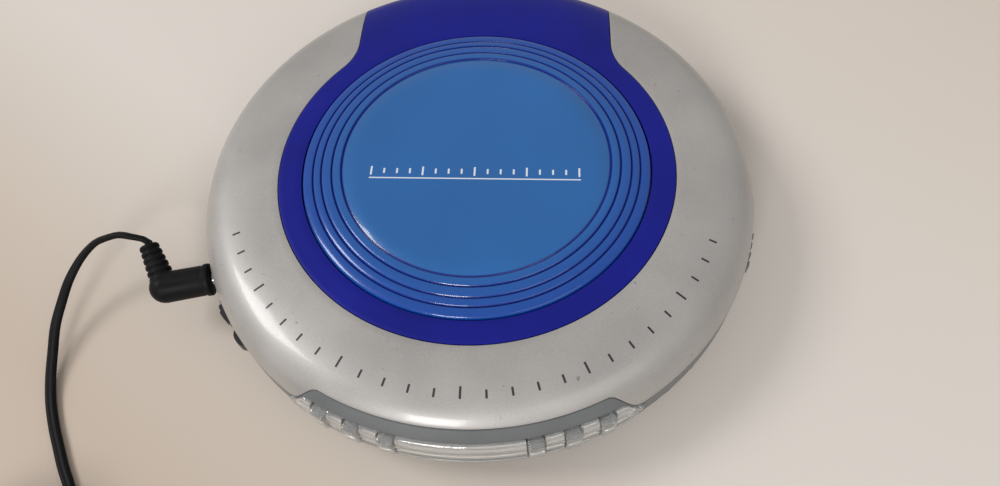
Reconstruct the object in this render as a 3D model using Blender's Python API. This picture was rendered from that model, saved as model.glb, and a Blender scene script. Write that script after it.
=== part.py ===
"""Round portable disc player with its lid, mechanism, buttons and a jack lead.

Metres, +Z up. The origin is on the table under the middle of the player's outline. The hinge is
at +Y, the six front buttons are at -Y, the jack, wheel and slide switch are at -X.
"""

import math

import bmesh
import bpy
from mathutils import Matrix, Vector

MM = 0.001
FULL_TURN = 2.0 * math.pi
FRONT = math.radians(-90.0)

# Driving sizes of the case
CASE_RADIUS = 70.0 * MM
DISC_RADIUS = 60.0 * MM
DISC_THICK = 1.2 * MM
WALL = 1.6 * MM
GAP = 0.3 * MM
OVERRUN = 5.0 * MM
TINY = 0.0001 * MM

# Counts that set how round the round pieces are
FRONT_STEPS = 10
SHOULDER_STEPS = 4
REAR_STEPS = 40
PLAIN_STEPS = 52
WINDOW_STEPS = 48
SMALL_SIDES = 14
ROD_SIDES = 10
POST_SIDES = 8

# Lower case and what stands on its floor
FOOT_HEIGHT = 1.0 * MM
CASE_FLOOR = FOOT_HEIGHT + GAP
FLOOR_TOP = CASE_FLOOR + WALL
BOWL_HEIGHT = 8.7 * MM
BOWL_BEND = 10.0 * MM
BOWL_TOP = CASE_FLOOR + BOWL_HEIGHT
SPLIT_HEIGHT = BOWL_TOP + GAP

# Battery bay, which sets the height of the disc well
CELL_DIAMETER = 14.5 * MM
CELL_LENGTH = 50.5 * MM
CELL_SLACK = 0.5 * MM
BAY_LENGTH = CELL_LENGTH + 3.0 * CELL_SLACK
BAY_WIDTH = 2.0 * CELL_DIAMETER + 2.0 * CELL_SLACK
BAY_TOP = FLOOR_TOP + CELL_DIAMETER + CELL_SLACK
BAY_WALL = 1.4 * MM

# Disc well in the deck
DECK_FLOOR = 1.5 * MM
WELL_FLOOR = BAY_TOP + DECK_FLOOR
WELL_CLEARANCE = 1.5 * MM
WELL_RADIUS = DISC_RADIUS + WELL_CLEARANCE
WELL_DEPTH = 2.6 * MM
DECK_TOP = WELL_FLOOR + WELL_DEPTH
DISC_LIFT = 2.0 * MM
DISC_UNDER = WELL_FLOOR + DISC_LIFT
DISC_TOP = DISC_UNDER + DISC_THICK

# Lid, from the disc upwards
DISC_HEADROOM = 0.6 * MM
LINER_UNDER = DISC_TOP + DISC_HEADROOM
LINER_THICK = 1.2 * MM
LINER_TOP = LINER_UNDER + LINER_THICK
LID_SKIN = 1.5 * MM
LID_ROOM = 0.6 * MM
RIM_TOP = LINER_TOP + LID_ROOM + LID_SKIN
CROWN_RISE = 0.5 * MM
CROWN_TOP = RIM_TOP + CROWN_RISE
RIM_BEND = 10.0 * MM
RIM_CENTRE = CASE_RADIUS - RIM_BEND
RIM_BASE = RIM_TOP - RIM_BEND
LID_EDGE = RIM_BASE + GAP

# Front cut of the lid, which bares the grey band and the clear strip
FRONT_LIFT = 6.8 * MM
FRONT_EDGE = LID_EDGE + FRONT_LIFT
FRONT_HALF_ANGLE = math.radians(34.5)
SHOULDER_ANGLE = math.radians(6.5)
LID_FIT = 0.4 * MM

# Cobalt insert and clear window
INSERT_RADIUS = 49.3 * MM
TONGUE_HALF_WIDTH = 34.6 * MM
TONGUE_FILLET = 14.6 * MM
WINDOW_RADIUS = 43.3 * MM
WINDOW_RISE = 1.5 * MM
WINDOW_WALL = 1.8 * MM
WINDOW_FOOT = 2.3 * MM
WINDOW_EDGE_RISE = 0.1 * MM
RIDGE_RISE = 0.45 * MM
RIDGE_SHARES = (0.771, 0.827, 0.889, 0.938, 1.0)
RIDGE_FALL_SHARES = (0.0, 0.14, 0.38, 0.65, 1.0)
LINER_OUTER = 62.0 * MM
LINER_INNER = WINDOW_RADIUS - WINDOW_FOOT - GAP

# Rear hinge
HINGE_OUT = 2.0 * MM
HINGE_HEIGHT = 14.0 * MM
HINGE_Y = CASE_RADIUS + HINGE_OUT
KNUCKLE_RADIUS = 2.4 * MM
PIN_RADIUS = 0.9 * MM
PIN_CLEARANCE = 0.2 * MM
SPRING_BAY = 3.1 * MM
LID_KNUCKLE_END = 12.0 * MM
DECK_KNUCKLE_END = 18.5 * MM

# Clear strip and the six buttons
TRIM_LOW = SPLIT_HEIGHT + 0.7 * MM
TRIM_HIGH = 20.2 * MM
TRIM_PROUD = 0.6 * MM
TRIM_THICK = 2.0 * MM
TRIM_TAPER = math.radians(4.0)
TRIM_TIP = 0.6 * MM
BUTTON_ANGLES = tuple(math.radians(a) for a in (-116.9, -110.2, -103.4, -76.6, -69.8, -63.1))
BUTTON_WIDTH = 3.7 * MM
BUTTON_LOW = TRIM_LOW + 1.3 * MM
BUTTON_HIGH = TRIM_HIGH - 0.7 * MM
BUTTON_PROUD = 0.7 * MM
BUTTON_TRAVEL = 0.7 * MM
BUTTON_CORNER = 0.4 * MM
FRONT_WALL_INNER = 66.5 * MM
SIDE_WALL_INNER = CASE_RADIUS - WALL
STEP_HEIGHT = 14.9 * MM

# Pieces are made round the middle of the case. The hinge then moves the outline's middle back.
OUTLINE_MIDDLE = (HINGE_Y + KNUCKLE_RADIUS - CASE_RADIUS - TRIM_PROUD) / 2.0


# Materials


def finish(name, colour, roughness, metallic=0.0, alpha=1.0):
    """A Principled material with one plain colour."""
    made = bpy.data.materials.new(name)
    made.use_nodes = True
    made.diffuse_color = (*colour, alpha)
    shader = made.node_tree.nodes["Principled BSDF"]
    shader.inputs["Base Color"].default_value = (*colour, 1.0)
    shader.inputs["Roughness"].default_value = roughness
    shader.inputs["Metallic"].default_value = metallic
    shader.inputs["Alpha"].default_value = alpha
    return made


for leftover in list(bpy.data.objects):
    bpy.data.objects.remove(leftover, do_unlink=True)

SILVER = finish("silver_paint", (0.40, 0.39, 0.38), 0.38, 0.55)
COBALT = finish("cobalt_plastic", (0.014, 0.016, 0.28), 0.42)
SKY = finish("sky_window", (0.02, 0.13, 0.42), 0.12, alpha=0.85)
GREY = finish("case_grey", (0.13, 0.14, 0.145), 0.5)
CLEAR = finish("clear_plastic", (0.75, 0.75, 0.74), 0.12, alpha=0.45)
BLACK = finish("black_plastic", (0.012, 0.012, 0.013), 0.45)
INNER = finish("inner_plastic", (0.05, 0.05, 0.055), 0.5)
BOARD = finish("board_green", (0.02, 0.12, 0.05), 0.5)
STEEL = finish("bright_steel", (0.6, 0.6, 0.6), 0.25, 1.0)
NYLON = finish("white_nylon", (0.75, 0.74, 0.7), 0.45)
RUBBER = finish("black_rubber", (0.015, 0.015, 0.015), 0.8)
LENS_GLASS = finish("lens_glass", (0.25, 0.3, 0.5), 0.05, alpha=0.6)
CORD = finish("cord_sheath", (0.012, 0.011, 0.012), 0.5)


# Making and joining solids


def place(name, bm, look, smooth=True):
    """Turns a bmesh into a shaded object in the scene."""
    bmesh.ops.remove_doubles(bm, verts=bm.verts, dist=TINY)
    loose = [edge for edge in bm.edges if not edge.link_faces]
    bmesh.ops.delete(bm, geom=loose, context="EDGES")
    bmesh.ops.recalc_face_normals(bm, faces=bm.faces)
    mesh = bpy.data.meshes.new(name)
    bm.to_mesh(mesh)
    bm.free()
    if smooth:
        mesh.shade_smooth()
        mesh.set_sharp_from_angle(angle=math.radians(32.0))
    if look:
        mesh.materials.append(look)
    made = bpy.data.objects.new(name, mesh)
    bpy.context.scene.collection.objects.link(made)
    return made


def angles_round():
    """Angles round the case, closer together where the lid's front cut steps."""
    inner = FRONT_HALF_ANGLE - SHOULDER_ANGLE
    stops = [
        (FRONT - inner, FRONT + inner, FRONT_STEPS),
        (FRONT + inner, FRONT + FRONT_HALF_ANGLE, SHOULDER_STEPS),
        (FRONT + FRONT_HALF_ANGLE, FRONT - FRONT_HALF_ANGLE + FULL_TURN, REAR_STEPS),
        (FRONT - FRONT_HALF_ANGLE, FRONT - inner, SHOULDER_STEPS),
    ]
    found = []
    for start, end, count in stops:
        found += [start + (end - start) * i / count for i in range(count)]
    return found


def even_angles(count):
    return [FULL_TURN * i / count for i in range(count)]


def ring(name, angles, section_at, look, closed=True):
    """A solid whose (radius, height) section is given for each angle round the Z axis."""
    bm = bmesh.new()
    loops = []
    for angle in angles:
        spot = [
            bm.verts.new((r * math.cos(angle), r * math.sin(angle), z)) for r, z in section_at(angle)
        ]
        loops.append(spot)
    pairs = list(zip(loops, loops[1:]))
    if closed:
        pairs.append((loops[-1], loops[0]))
    else:
        bm.faces.new(loops[0])
        bm.faces.new(loops[-1])
    for here, there in pairs:
        for i, corner in enumerate(here):
            after = (i + 1) % len(here)
            bm.faces.new((corner, here[after], there[after], there[i]))
    return place(name, bm, look)


def turned(name, outline, look, steps=PLAIN_STEPS, centre=(0.0, 0.0)):
    """A solid turned from one (radius, height) outline about an upright axis."""
    made = ring(name, even_angles(steps), lambda angle: outline, look)
    made.data.transform(Matrix.Translation((*centre, 0.0)))
    return made


def prism(name, outline, low, high, look=None):
    """An outline in plan, drawn up from one height to another."""
    bm = bmesh.new()
    face = bm.faces.new([bm.verts.new((x, y, low)) for x, y in outline])
    raised = bmesh.ops.extrude_face_region(bm, geom=[face])
    moved = [item for item in raised["geom"] if isinstance(item, bmesh.types.BMVert)]
    bmesh.ops.translate(bm, verts=moved, vec=(0.0, 0.0, high - low))
    return place(name, bm, look, smooth=False)


def block(name, low, high, look=None, frame=None, corner=0.0):
    """A box between two corners, in a frame of its own, its edges rounded if asked."""
    bm = bmesh.new()
    bmesh.ops.create_cube(bm, size=1.0)
    low, high = Vector(low), Vector(high)
    sides = high - low
    bm.transform(Matrix.Translation((low + high) / 2.0) @ Matrix.Diagonal((*sides, 1.0)))
    if corner:
        bmesh.ops.bevel(
            bm, geom=bm.edges, offset=corner, segments=1, affect="EDGES", profile=0.5
        )
    if frame:
        bm.transform(frame)
    return place(name, bm, look, smooth=False)


def rod(name, start, end, radius, look=None, sides=ROD_SIDES, end_radius=None):
    """A round bar, or a cone, from one point to another."""
    start, end = Vector(start), Vector(end)
    run = end - start
    bm = bmesh.new()
    bmesh.ops.create_cone(
        bm,
        cap_ends=True,
        segments=sides,
        radius1=radius,
        radius2=radius if end_radius is None else end_radius,
        depth=run.length,
    )
    turn = run.to_track_quat("Z", "Y").to_matrix().to_4x4()
    bm.transform(Matrix.Translation((start + end) / 2.0) @ turn)
    return place(name, bm, look)


def frame_at(angle, radius, height, heading=None):
    """A frame on the case: X points out, Y along the rim, Z up."""
    spot = Vector((radius * math.cos(angle), radius * math.sin(angle), height))
    return Matrix.Translation(spot) @ Matrix.Rotation(angle if heading is None else heading, 4, "Z")


def apply_to(target, others, operation):
    for other in others:
        other.hide_render = True
        other.display_type = "WIRE"
        step = target.modifiers.new(other.name, "BOOLEAN")
        step.operation = operation
        step.solver = "EXACT"
        step.object = other


def cut(target, *others):
    apply_to(target, others, "DIFFERENCE")


def join(target, *others):
    apply_to(target, others, "UNION")


def keep(target, *others):
    apply_to(target, others, "INTERSECT")


def pivot(name, spot):
    """An empty on a joint's axis, which carries what moves there."""
    empty = bpy.data.objects.new(name, None)
    empty.location = spot
    bpy.context.scene.collection.objects.link(empty)
    return empty


def carry(empty, *pieces):
    for piece in pieces:
        piece.parent = empty
        piece.matrix_parent_inverse = Matrix.Translation(-empty.location)


# Shapes that several pieces share


def arc(centre, radius, start, end, count):
    """Points along an arc, both ends included."""
    return [
        (
            centre[0] + radius * math.cos(start + (end - start) * i / count),
            centre[1] + radius * math.sin(start + (end - start) * i / count),
        )
        for i in range(count + 1)
    ]


def front_share(angle):
    """1 inside the lid's front cut, 0 away from it, with an S between."""
    off = abs(math.remainder(angle - FRONT, FULL_TURN))
    share = min(1.0, max(0.0, (FRONT_HALF_ANGLE - off) / SHOULDER_ANGLE))
    return share * share * (3.0 - 2.0 * share)


def lid_edge(angle):
    return LID_EDGE + FRONT_LIFT * front_share(angle)


def rim_arc(bend, low, count):
    """The rolled rim from its side at one height up to its top."""
    start = math.asin(min(1.0, max(0.0, (low - RIM_BASE) / bend)))
    return arc((RIM_CENTRE, RIM_BASE), bend, start, math.pi / 2.0, count)


def insert_outline(room):
    """The cobalt ring and its tongue in plan, grown by some room."""
    radius = INSERT_RADIUS + room
    half = TONGUE_HALF_WIDTH + room
    fillet = TONGUE_FILLET - room
    middle = half + fillet
    height = math.sqrt((radius + fillet) ** 2 - middle**2)
    meet = math.atan2(height, middle)
    round_front = arc((0.0, 0.0), radius, math.pi - meet, FULL_TURN + meet, 44)
    right = arc((middle, height), fillet, math.pi + meet, math.pi, 6)
    left = [(-x, y) for x, y in reversed(right)]
    far = CASE_RADIUS + OVERRUN
    return round_front + right[1:] + [(half, far), (-half, far)] + left[:-1]


def slot_outline(start, end, half, corner):
    """A straight slot in plan, along X, its far corners rounded."""
    low = arc((end - corner, corner - half), corner, -math.pi / 2.0, 0.0, 3)
    high = arc((end - corner, half - corner), corner, 0.0, math.pi / 2.0, 3)
    return [(start, -half)] + low + high + [(start, half)]


# Lid


def lid_skin(inner, edge_at, look, name, angles):
    def section(angle):
        edge = edge_at(angle)
        outside = rim_arc(RIM_BEND, edge, 4)
        inside = rim_arc(RIM_BEND - LID_SKIN, edge, 3)
        return outside + [(inner, CROWN_TOP), (inner, CROWN_TOP - LID_SKIN)] + inside[::-1]

    return ring(name, angles, section, look)


def make_lid_cover():
    cover = lid_skin(INSERT_RADIUS - WALL, lid_edge, SILVER, "lid_cover", angles_round())
    opening = prism("cover_opening", insert_outline(GAP), LID_EDGE - OVERRUN, CROWN_TOP + OVERRUN)
    cut(cover, opening)
    return cover


LUG_THICK = 1.6 * MM
LUG_START = math.radians(125.0)
LUG_END = math.radians(420.0)
WEB_START = math.radians(-45.0)
WEB_END = math.radians(110.0)


def hinge_bar(name, start, end, radius, sides=SMALL_SIDES):
    return rod(
        name, (start, HINGE_Y, HINGE_HEIGHT), (end, HINGE_Y, HINGE_HEIGHT), radius, sides=sides
    )


def along_x(name, outline, start, end):
    """An outline in Y and Z, drawn out along X."""
    made = prism(name, outline, start, end)
    made.data.transform(Matrix(((0, 0, 1, 0), (1, 0, 0, 0), (0, 1, 0, 0), (0, 0, 0, 1))))
    return made


def across(name, outline, half, frame):
    """An outline in X and Z of a frame, drawn out both ways along its Y."""
    made = prism(name, outline, -half, half)
    made.data.transform(frame @ Matrix(((1, 0, 0, 0), (0, 0, 1, 0), (0, 1, 0, 0), (0, 0, 0, 1))))
    return made


def make_lid_insert():
    inner = WINDOW_RADIUS + GAP
    insert = lid_skin(inner, lambda angle: LID_EDGE, COBALT, "lid_insert", even_angles(PLAIN_STEPS))
    keep(insert, prism("insert_outline", insert_outline(0.0), LID_EDGE - OVERRUN, CROWN_TOP + OVERRUN))
    barrel = arc((HINGE_Y, HINGE_HEIGHT), KNUCKLE_RADIUS, LUG_START, LUG_END, 16)
    inside = CASE_RADIUS - LID_SKIN - LID_FIT / 2.0
    lug = (
        [(inside, LID_EDGE + PIN_CLEARANCE), (CASE_RADIUS + GAP, LID_EDGE + PIN_CLEARANCE)]
        + barrel
        + [(CASE_RADIUS, LID_EDGE + LUG_THICK), (inside, LID_EDGE + LUG_THICK)]
    )
    for side, name in ((-1.0, "left"), (1.0, "right")):
        ends = sorted((side * SPRING_BAY, side * LID_KNUCKLE_END))
        join(insert, along_x("lid_lug_" + name, lug, *ends))
    bore = hinge_bar(
        "lid_pin_bore", -LID_KNUCKLE_END - OVERRUN, LID_KNUCKLE_END + OVERRUN, PIN_RADIUS + PIN_CLEARANCE
    )
    cut(insert, bore)
    return insert


def make_lid_window():
    centre = CROWN_TOP + WINDOW_RISE
    fall = WINDOW_RISE - WINDOW_EDGE_RISE
    marks = [
        (WINDOW_RADIUS * at, centre - fall * down)
        for at, down in zip(RIDGE_SHARES, RIDGE_FALL_SHARES)
    ]
    outline = [(0.0, centre - WINDOW_WALL), (0.0, centre), marks[0]]
    for (r0, z0), (r1, z1) in zip(marks, marks[1:]):
        width, drop = r1 - r0, z0 - z1
        outline.append((r0 + width / 2.0, z0 - drop / 3.0 + RIDGE_RISE))
        outline.append((r1, z1))
    seat = LINER_TOP + GAP
    foot = WINDOW_RADIUS - WINDOW_FOOT
    outline += [(WINDOW_RADIUS, seat), (foot, seat), (foot, centre - WINDOW_WALL)]
    return turned("lid_window", outline, SKY, WINDOW_STEPS)


HOOK_ANGLE = math.radians(-14.0)
HOOK_RADIUS = 63.4 * MM
HOOK_THICK = 1.2 * MM
HOOK_WIDTH = 5.0 * MM
HOOK_DROP = 5.6 * MM
HOOK_BARB = 0.9 * MM
HOOK_BARB_HEIGHT = 1.4 * MM
SWITCH_ANGLE = math.radians(-38.0)
RIB_RADIUS = 63.5 * MM
RIB_SIZE = 1.2 * MM
RIB_DROP = 2.6 * MM
ARM_REACH = 2.6 * MM
ARM_UNDER = 0.7 * MM
ARM_BITE = 0.3 * MM
ARM_DIP = 0.2 * MM


def make_lid_liner():
    liner = turned(
        "lid_liner",
        [
            (LINER_OUTER, LINER_UNDER),
            (LINER_OUTER, LINER_TOP),
            (LINER_INNER, LINER_TOP),
            (LINER_INNER, LINER_UNDER),
        ],
        INNER,
    )
    shoulder = LINER_OUTER - HOOK_RADIUS - ARM_BITE
    hook = [
        (-ARM_REACH, -ARM_UNDER),
        (-ARM_REACH, ARM_BITE),
        (shoulder, ARM_BITE),
        (HOOK_THICK, -ARM_DIP),
        (HOOK_THICK, HOOK_BARB_HEIGHT - HOOK_DROP),
        (HOOK_THICK + HOOK_BARB, HOOK_BARB_HEIGHT - HOOK_DROP),
        (HOOK_THICK + HOOK_BARB, HOOK_BARB_HEIGHT / 2.0 - HOOK_DROP),
        (HOOK_THICK, -HOOK_DROP),
        (0.0, -HOOK_DROP),
        (0.0, -ARM_UNDER),
    ]
    rib = [
        (-ARM_REACH, -ARM_UNDER),
        (-ARM_REACH, ARM_BITE),
        (shoulder, ARM_BITE),
        (RIB_SIZE, -ARM_DIP),
        (RIB_SIZE, -RIB_DROP),
        (0.0, -RIB_DROP),
        (0.0, -ARM_UNDER),
    ]
    join(
        liner,
        across("lid_hook", hook, HOOK_WIDTH / 2.0, frame_at(HOOK_ANGLE, HOOK_RADIUS, LINER_UNDER)),
        across("switch_rib", rib, RIB_SIZE, frame_at(SWITCH_ANGLE, RIB_RADIUS, LINER_UNDER)),
    )
    return liner


# Hinge pin and the spring that lifts the lid

SPRING_WIRE = 0.3 * MM
SPRING_CURLS = 5
SPRING_CLEARANCE = 0.35 * MM
SPRING_RADIUS = PIN_RADIUS + SPRING_CLEARANCE + SPRING_WIRE
SPRING_LEG = 3.6 * MM
SPRING_ARM = 2.7 * MM
CURL_POINTS = 10


def tube(name, points, radius, look, resolution):
    """A filled tube along a line of points."""
    curve = bpy.data.curves.new(name, "CURVE")
    curve.dimensions = "3D"
    curve.bevel_depth = radius
    curve.bevel_resolution = resolution
    curve.use_fill_caps = True
    curve.materials.append(look)
    line = curve.splines.new("POLY")
    line.points.add(len(points) - 1)
    for spot, point in zip(line.points, points):
        spot.co = (*point, 1.0)
    made = bpy.data.objects.new(name, curve)
    bpy.context.scene.collection.objects.link(made)
    return made


def least_gap(points, radius, skip):
    """How near a wound tube comes to itself, between the surfaces of its turns."""
    found = math.inf
    for i, here in enumerate(points):
        for there in points[i + skip :]:
            found = min(found, (Vector(here) - Vector(there)).length)
    return found - 2.0 * radius


def make_hinge_parts():
    reach = DECK_KNUCKLE_END - GAP
    pin = rod(
        "hinge_pin",
        (-reach, HINGE_Y, HINGE_HEIGHT),
        (reach, HINGE_Y, HINGE_HEIGHT),
        PIN_RADIUS,
        STEEL,
    )
    wound = 2.0 * (SPRING_BAY - 2.0 * SPRING_WIRE)
    count = SPRING_CURLS * CURL_POINTS
    points = []
    for i in range(count + 1):
        turn = FULL_TURN * SPRING_CURLS * i / count
        points.append(
            (
                wound * (i / count - 0.5),
                HINGE_Y - SPRING_RADIUS * math.cos(turn),
                HINGE_HEIGHT - SPRING_RADIUS * math.sin(turn),
            )
        )
    print("lid spring, least gap in mm:", round(least_gap(points, SPRING_WIRE, 6) / MM, 2))
    first, last = points[0], points[-1]
    leg = [
        (first[0], first[1] + SPRING_WIRE, first[2] - SPRING_LEG),
        (first[0], first[1], first[2] - SPRING_LEG / 2.0),
    ]
    arm = [
        (last[0], last[1], last[2] + SPRING_RADIUS / 2.0),
        (last[0], last[1] - SPRING_RADIUS / 2.0, last[2] + SPRING_RADIUS),
        (last[0], last[1] - SPRING_ARM, LID_EDGE - GAP - SPRING_WIRE),
    ]
    spring = tube("lid_spring", leg + points + arm, SPRING_WIRE, STEEL, 1)
    return pin, spring


# Deck: the upper case with the disc well

HUB_HOLE = 14.6 * MM
SLED_SLOT_END = 60.4 * MM
SLED_SLOT_HALF = 12.4 * MM
SLED_SLOT_CORNER = 4.0 * MM
SCALLOP_RADIUS = 13.0 * MM
SCALLOP_OFFSET = 55.0 * MM
SCALLOP_DEPTH = 1.2 * MM
WEB_BITE = 1.4 * MM
NOTCH_IN = 67.3 * MM
NOTCH_RISE = 0.9 * MM
JACK_ANGLE = math.radians(-157.3)
JACK_HEADING = math.radians(-167.0)
JACK_HEIGHT = 13.5 * MM
JACK_BORE = 2.1 * MM
JACK_HALF = 2.5 * MM
JACK_MOUTH = 4.3 * MM
WHEEL_ANGLE = math.radians(-148.4)
WHEEL_RADIUS = 6.0 * MM
WHEEL_PEEK = 1.4 * MM
WHEEL_CENTRE = CASE_RADIUS + WHEEL_PEEK - WHEEL_RADIUS
WHEEL_LOW = 12.2 * MM
WHEEL_THICK = 2.8 * MM
KNOB_ANGLE = math.radians(-141.4)
KNOB_LENGTH = 5.0 * MM
KNOB_HEIGHT = 3.0 * MM
KNOB_PROUD = 1.1 * MM
KNOB_TRAVEL = 2.0 * MM
KNOB_LEVEL = 13.5 * MM
INLET_ANGLE = math.radians(172.0)
INLET_BORE = 2.9 * MM
INLET_HEIGHT = 12.8 * MM
OPEN_ANGLE = math.radians(-14.0)
OPEN_LENGTH = 11.0 * MM
OPEN_HEIGHT = 3.4 * MM
OPEN_TRAVEL = 3.0 * MM
OPEN_LEVEL = 13.4 * MM
THUMB_DEPTH = 1.0 * MM
BOSS_RADIUS = 3.3 * MM
SCREW_SPOTS = (
    (48.0 * MM, 24.0 * MM),
    (-48.0 * MM, 24.0 * MM),
    (-22.5 * MM, -39.0 * MM),
    (14.0 * MM, -43.0 * MM),
)
SCREW_BORE = 1.5 * MM


def deck_section(angle):
    seam = lid_edge(angle) - GAP
    inner_bend = RIM_BEND - LID_SKIN - LID_FIT
    rise = math.asin(min(1.0, max(0.0, (seam - RIM_BASE) / RIM_BEND)))
    outside = arc((RIM_CENTRE, RIM_BASE), RIM_BEND, 0.0, rise, 3)

    def under_lid(height):
        return RIM_CENTRE + math.sqrt(inner_bend**2 - (height - RIM_BASE) ** 2)

    levels = [seam + (DECK_TOP - seam) * i / 2 for i in range(3)]
    shelf = [(under_lid(max(level, seam)), level) for level in levels]
    lower_inner = SIDE_WALL_INNER + (FRONT_WALL_INNER - SIDE_WALL_INNER) * front_share(angle)
    well_outer = WELL_RADIUS + DECK_FLOOR
    shelf_under = DECK_TOP - WALL
    return (
        [(CASE_RADIUS, SPLIT_HEIGHT + GAP / 2.0)]
        + outside
        + shelf
        + [
            (WELL_RADIUS, DECK_TOP),
            (WELL_RADIUS, WELL_FLOOR),
            (0.0, WELL_FLOOR),
            (0.0, BAY_TOP),
            (well_outer, BAY_TOP),
            (well_outer, shelf_under),
            (FRONT_WALL_INNER - 2.0 * LID_FIT, shelf_under),
            (FRONT_WALL_INNER, shelf_under - WALL),
            (FRONT_WALL_INNER, STEP_HEIGHT),
            (lower_inner, STEP_HEIGHT),
            (lower_inner, SPLIT_HEIGHT + GAP / 2.0),
        ]
    )


def trim_heights(angle, room=0.0):
    """The clear strip's lower and upper edge, drawn to a point at both ends."""
    off = abs(angle - FRONT)
    tip = FRONT_HALF_ANGLE
    share = min(1.0, max(0.0, (tip - off) / TRIM_TAPER))
    share = math.sqrt(share)
    middle = (TRIM_LOW + TRIM_HIGH) / 2.0
    half = TRIM_TIP / 2.0 + (TRIM_HIGH - TRIM_LOW - TRIM_TIP) / 2.0 * share
    high = min(middle + half, lid_edge(angle) - 3.0 * GAP)
    return middle - half - room, high + room


def trim_angles(reach, count=34):
    return [FRONT - reach + 2.0 * reach * i / count for i in range(count + 1)]


def case_profile(height):
    """The outer radius of the case at a height."""
    if height <= RIM_BASE:
        return CASE_RADIUS
    return RIM_CENTRE + math.sqrt(RIM_BEND**2 - (height - RIM_BASE) ** 2)


TRIM_INNER = CASE_RADIUS + TRIM_PROUD - TRIM_THICK


def make_trim_pocket():
    inner = TRIM_INNER - GAP
    reach = FRONT_HALF_ANGLE + GAP / CASE_RADIUS

    def section(angle):
        low, high = trim_heights(angle, GAP)
        far = CASE_RADIUS + OVERRUN
        return [(far, low), (far, high), (inner, high), (inner, low)]

    return ring("trim_pocket", trim_angles(reach), section, None, closed=False)


BUTTON_STEM_IN = 65.2 * MM
BUTTON_FLANGE = 0.9 * MM
BUTTON_LIP = 0.9 * MM
BUTTON_HOLE_ROOM = GAP


def button_box(name, angle, inside, outside, room, look=None, corner=0.0):
    half = BUTTON_WIDTH / 2.0 + room
    return block(
        name,
        (inside, -half, BUTTON_LOW - room),
        (outside, half, BUTTON_HIGH + room),
        look,
        Matrix.Rotation(angle, 4, "Z"),
        corner,
    )


def deck_additions():
    made = []
    inside = CASE_RADIUS - WALL - WEB_BITE
    barrel = arc((HINGE_Y, HINGE_HEIGHT), KNUCKLE_RADIUS, WEB_START, WEB_END, 10)
    web = (
        [(inside, SPLIT_HEIGHT + GAP), (CASE_RADIUS, SPLIT_HEIGHT + GAP)]
        + barrel
        + [(inside, RIM_BASE - GAP)]
    )
    for side, name in ((-1.0, "left"), (1.0, "right")):
        ends = sorted((side * (LID_KNUCKLE_END + GAP), side * DECK_KNUCKLE_END))
        made.append(along_x("deck_web_" + name, web, *ends))
    for i, (x, y) in enumerate(SCREW_SPOTS):
        made.append(
            rod(
                f"deck_boss_{i}",
                (x, y, SPLIT_HEIGHT + GAP / 2.0),
                (x, y, BAY_TOP + DECK_FLOOR / 2.0),
                BOSS_RADIUS,
                sides=POST_SIDES,
            )
        )
    return made


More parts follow.
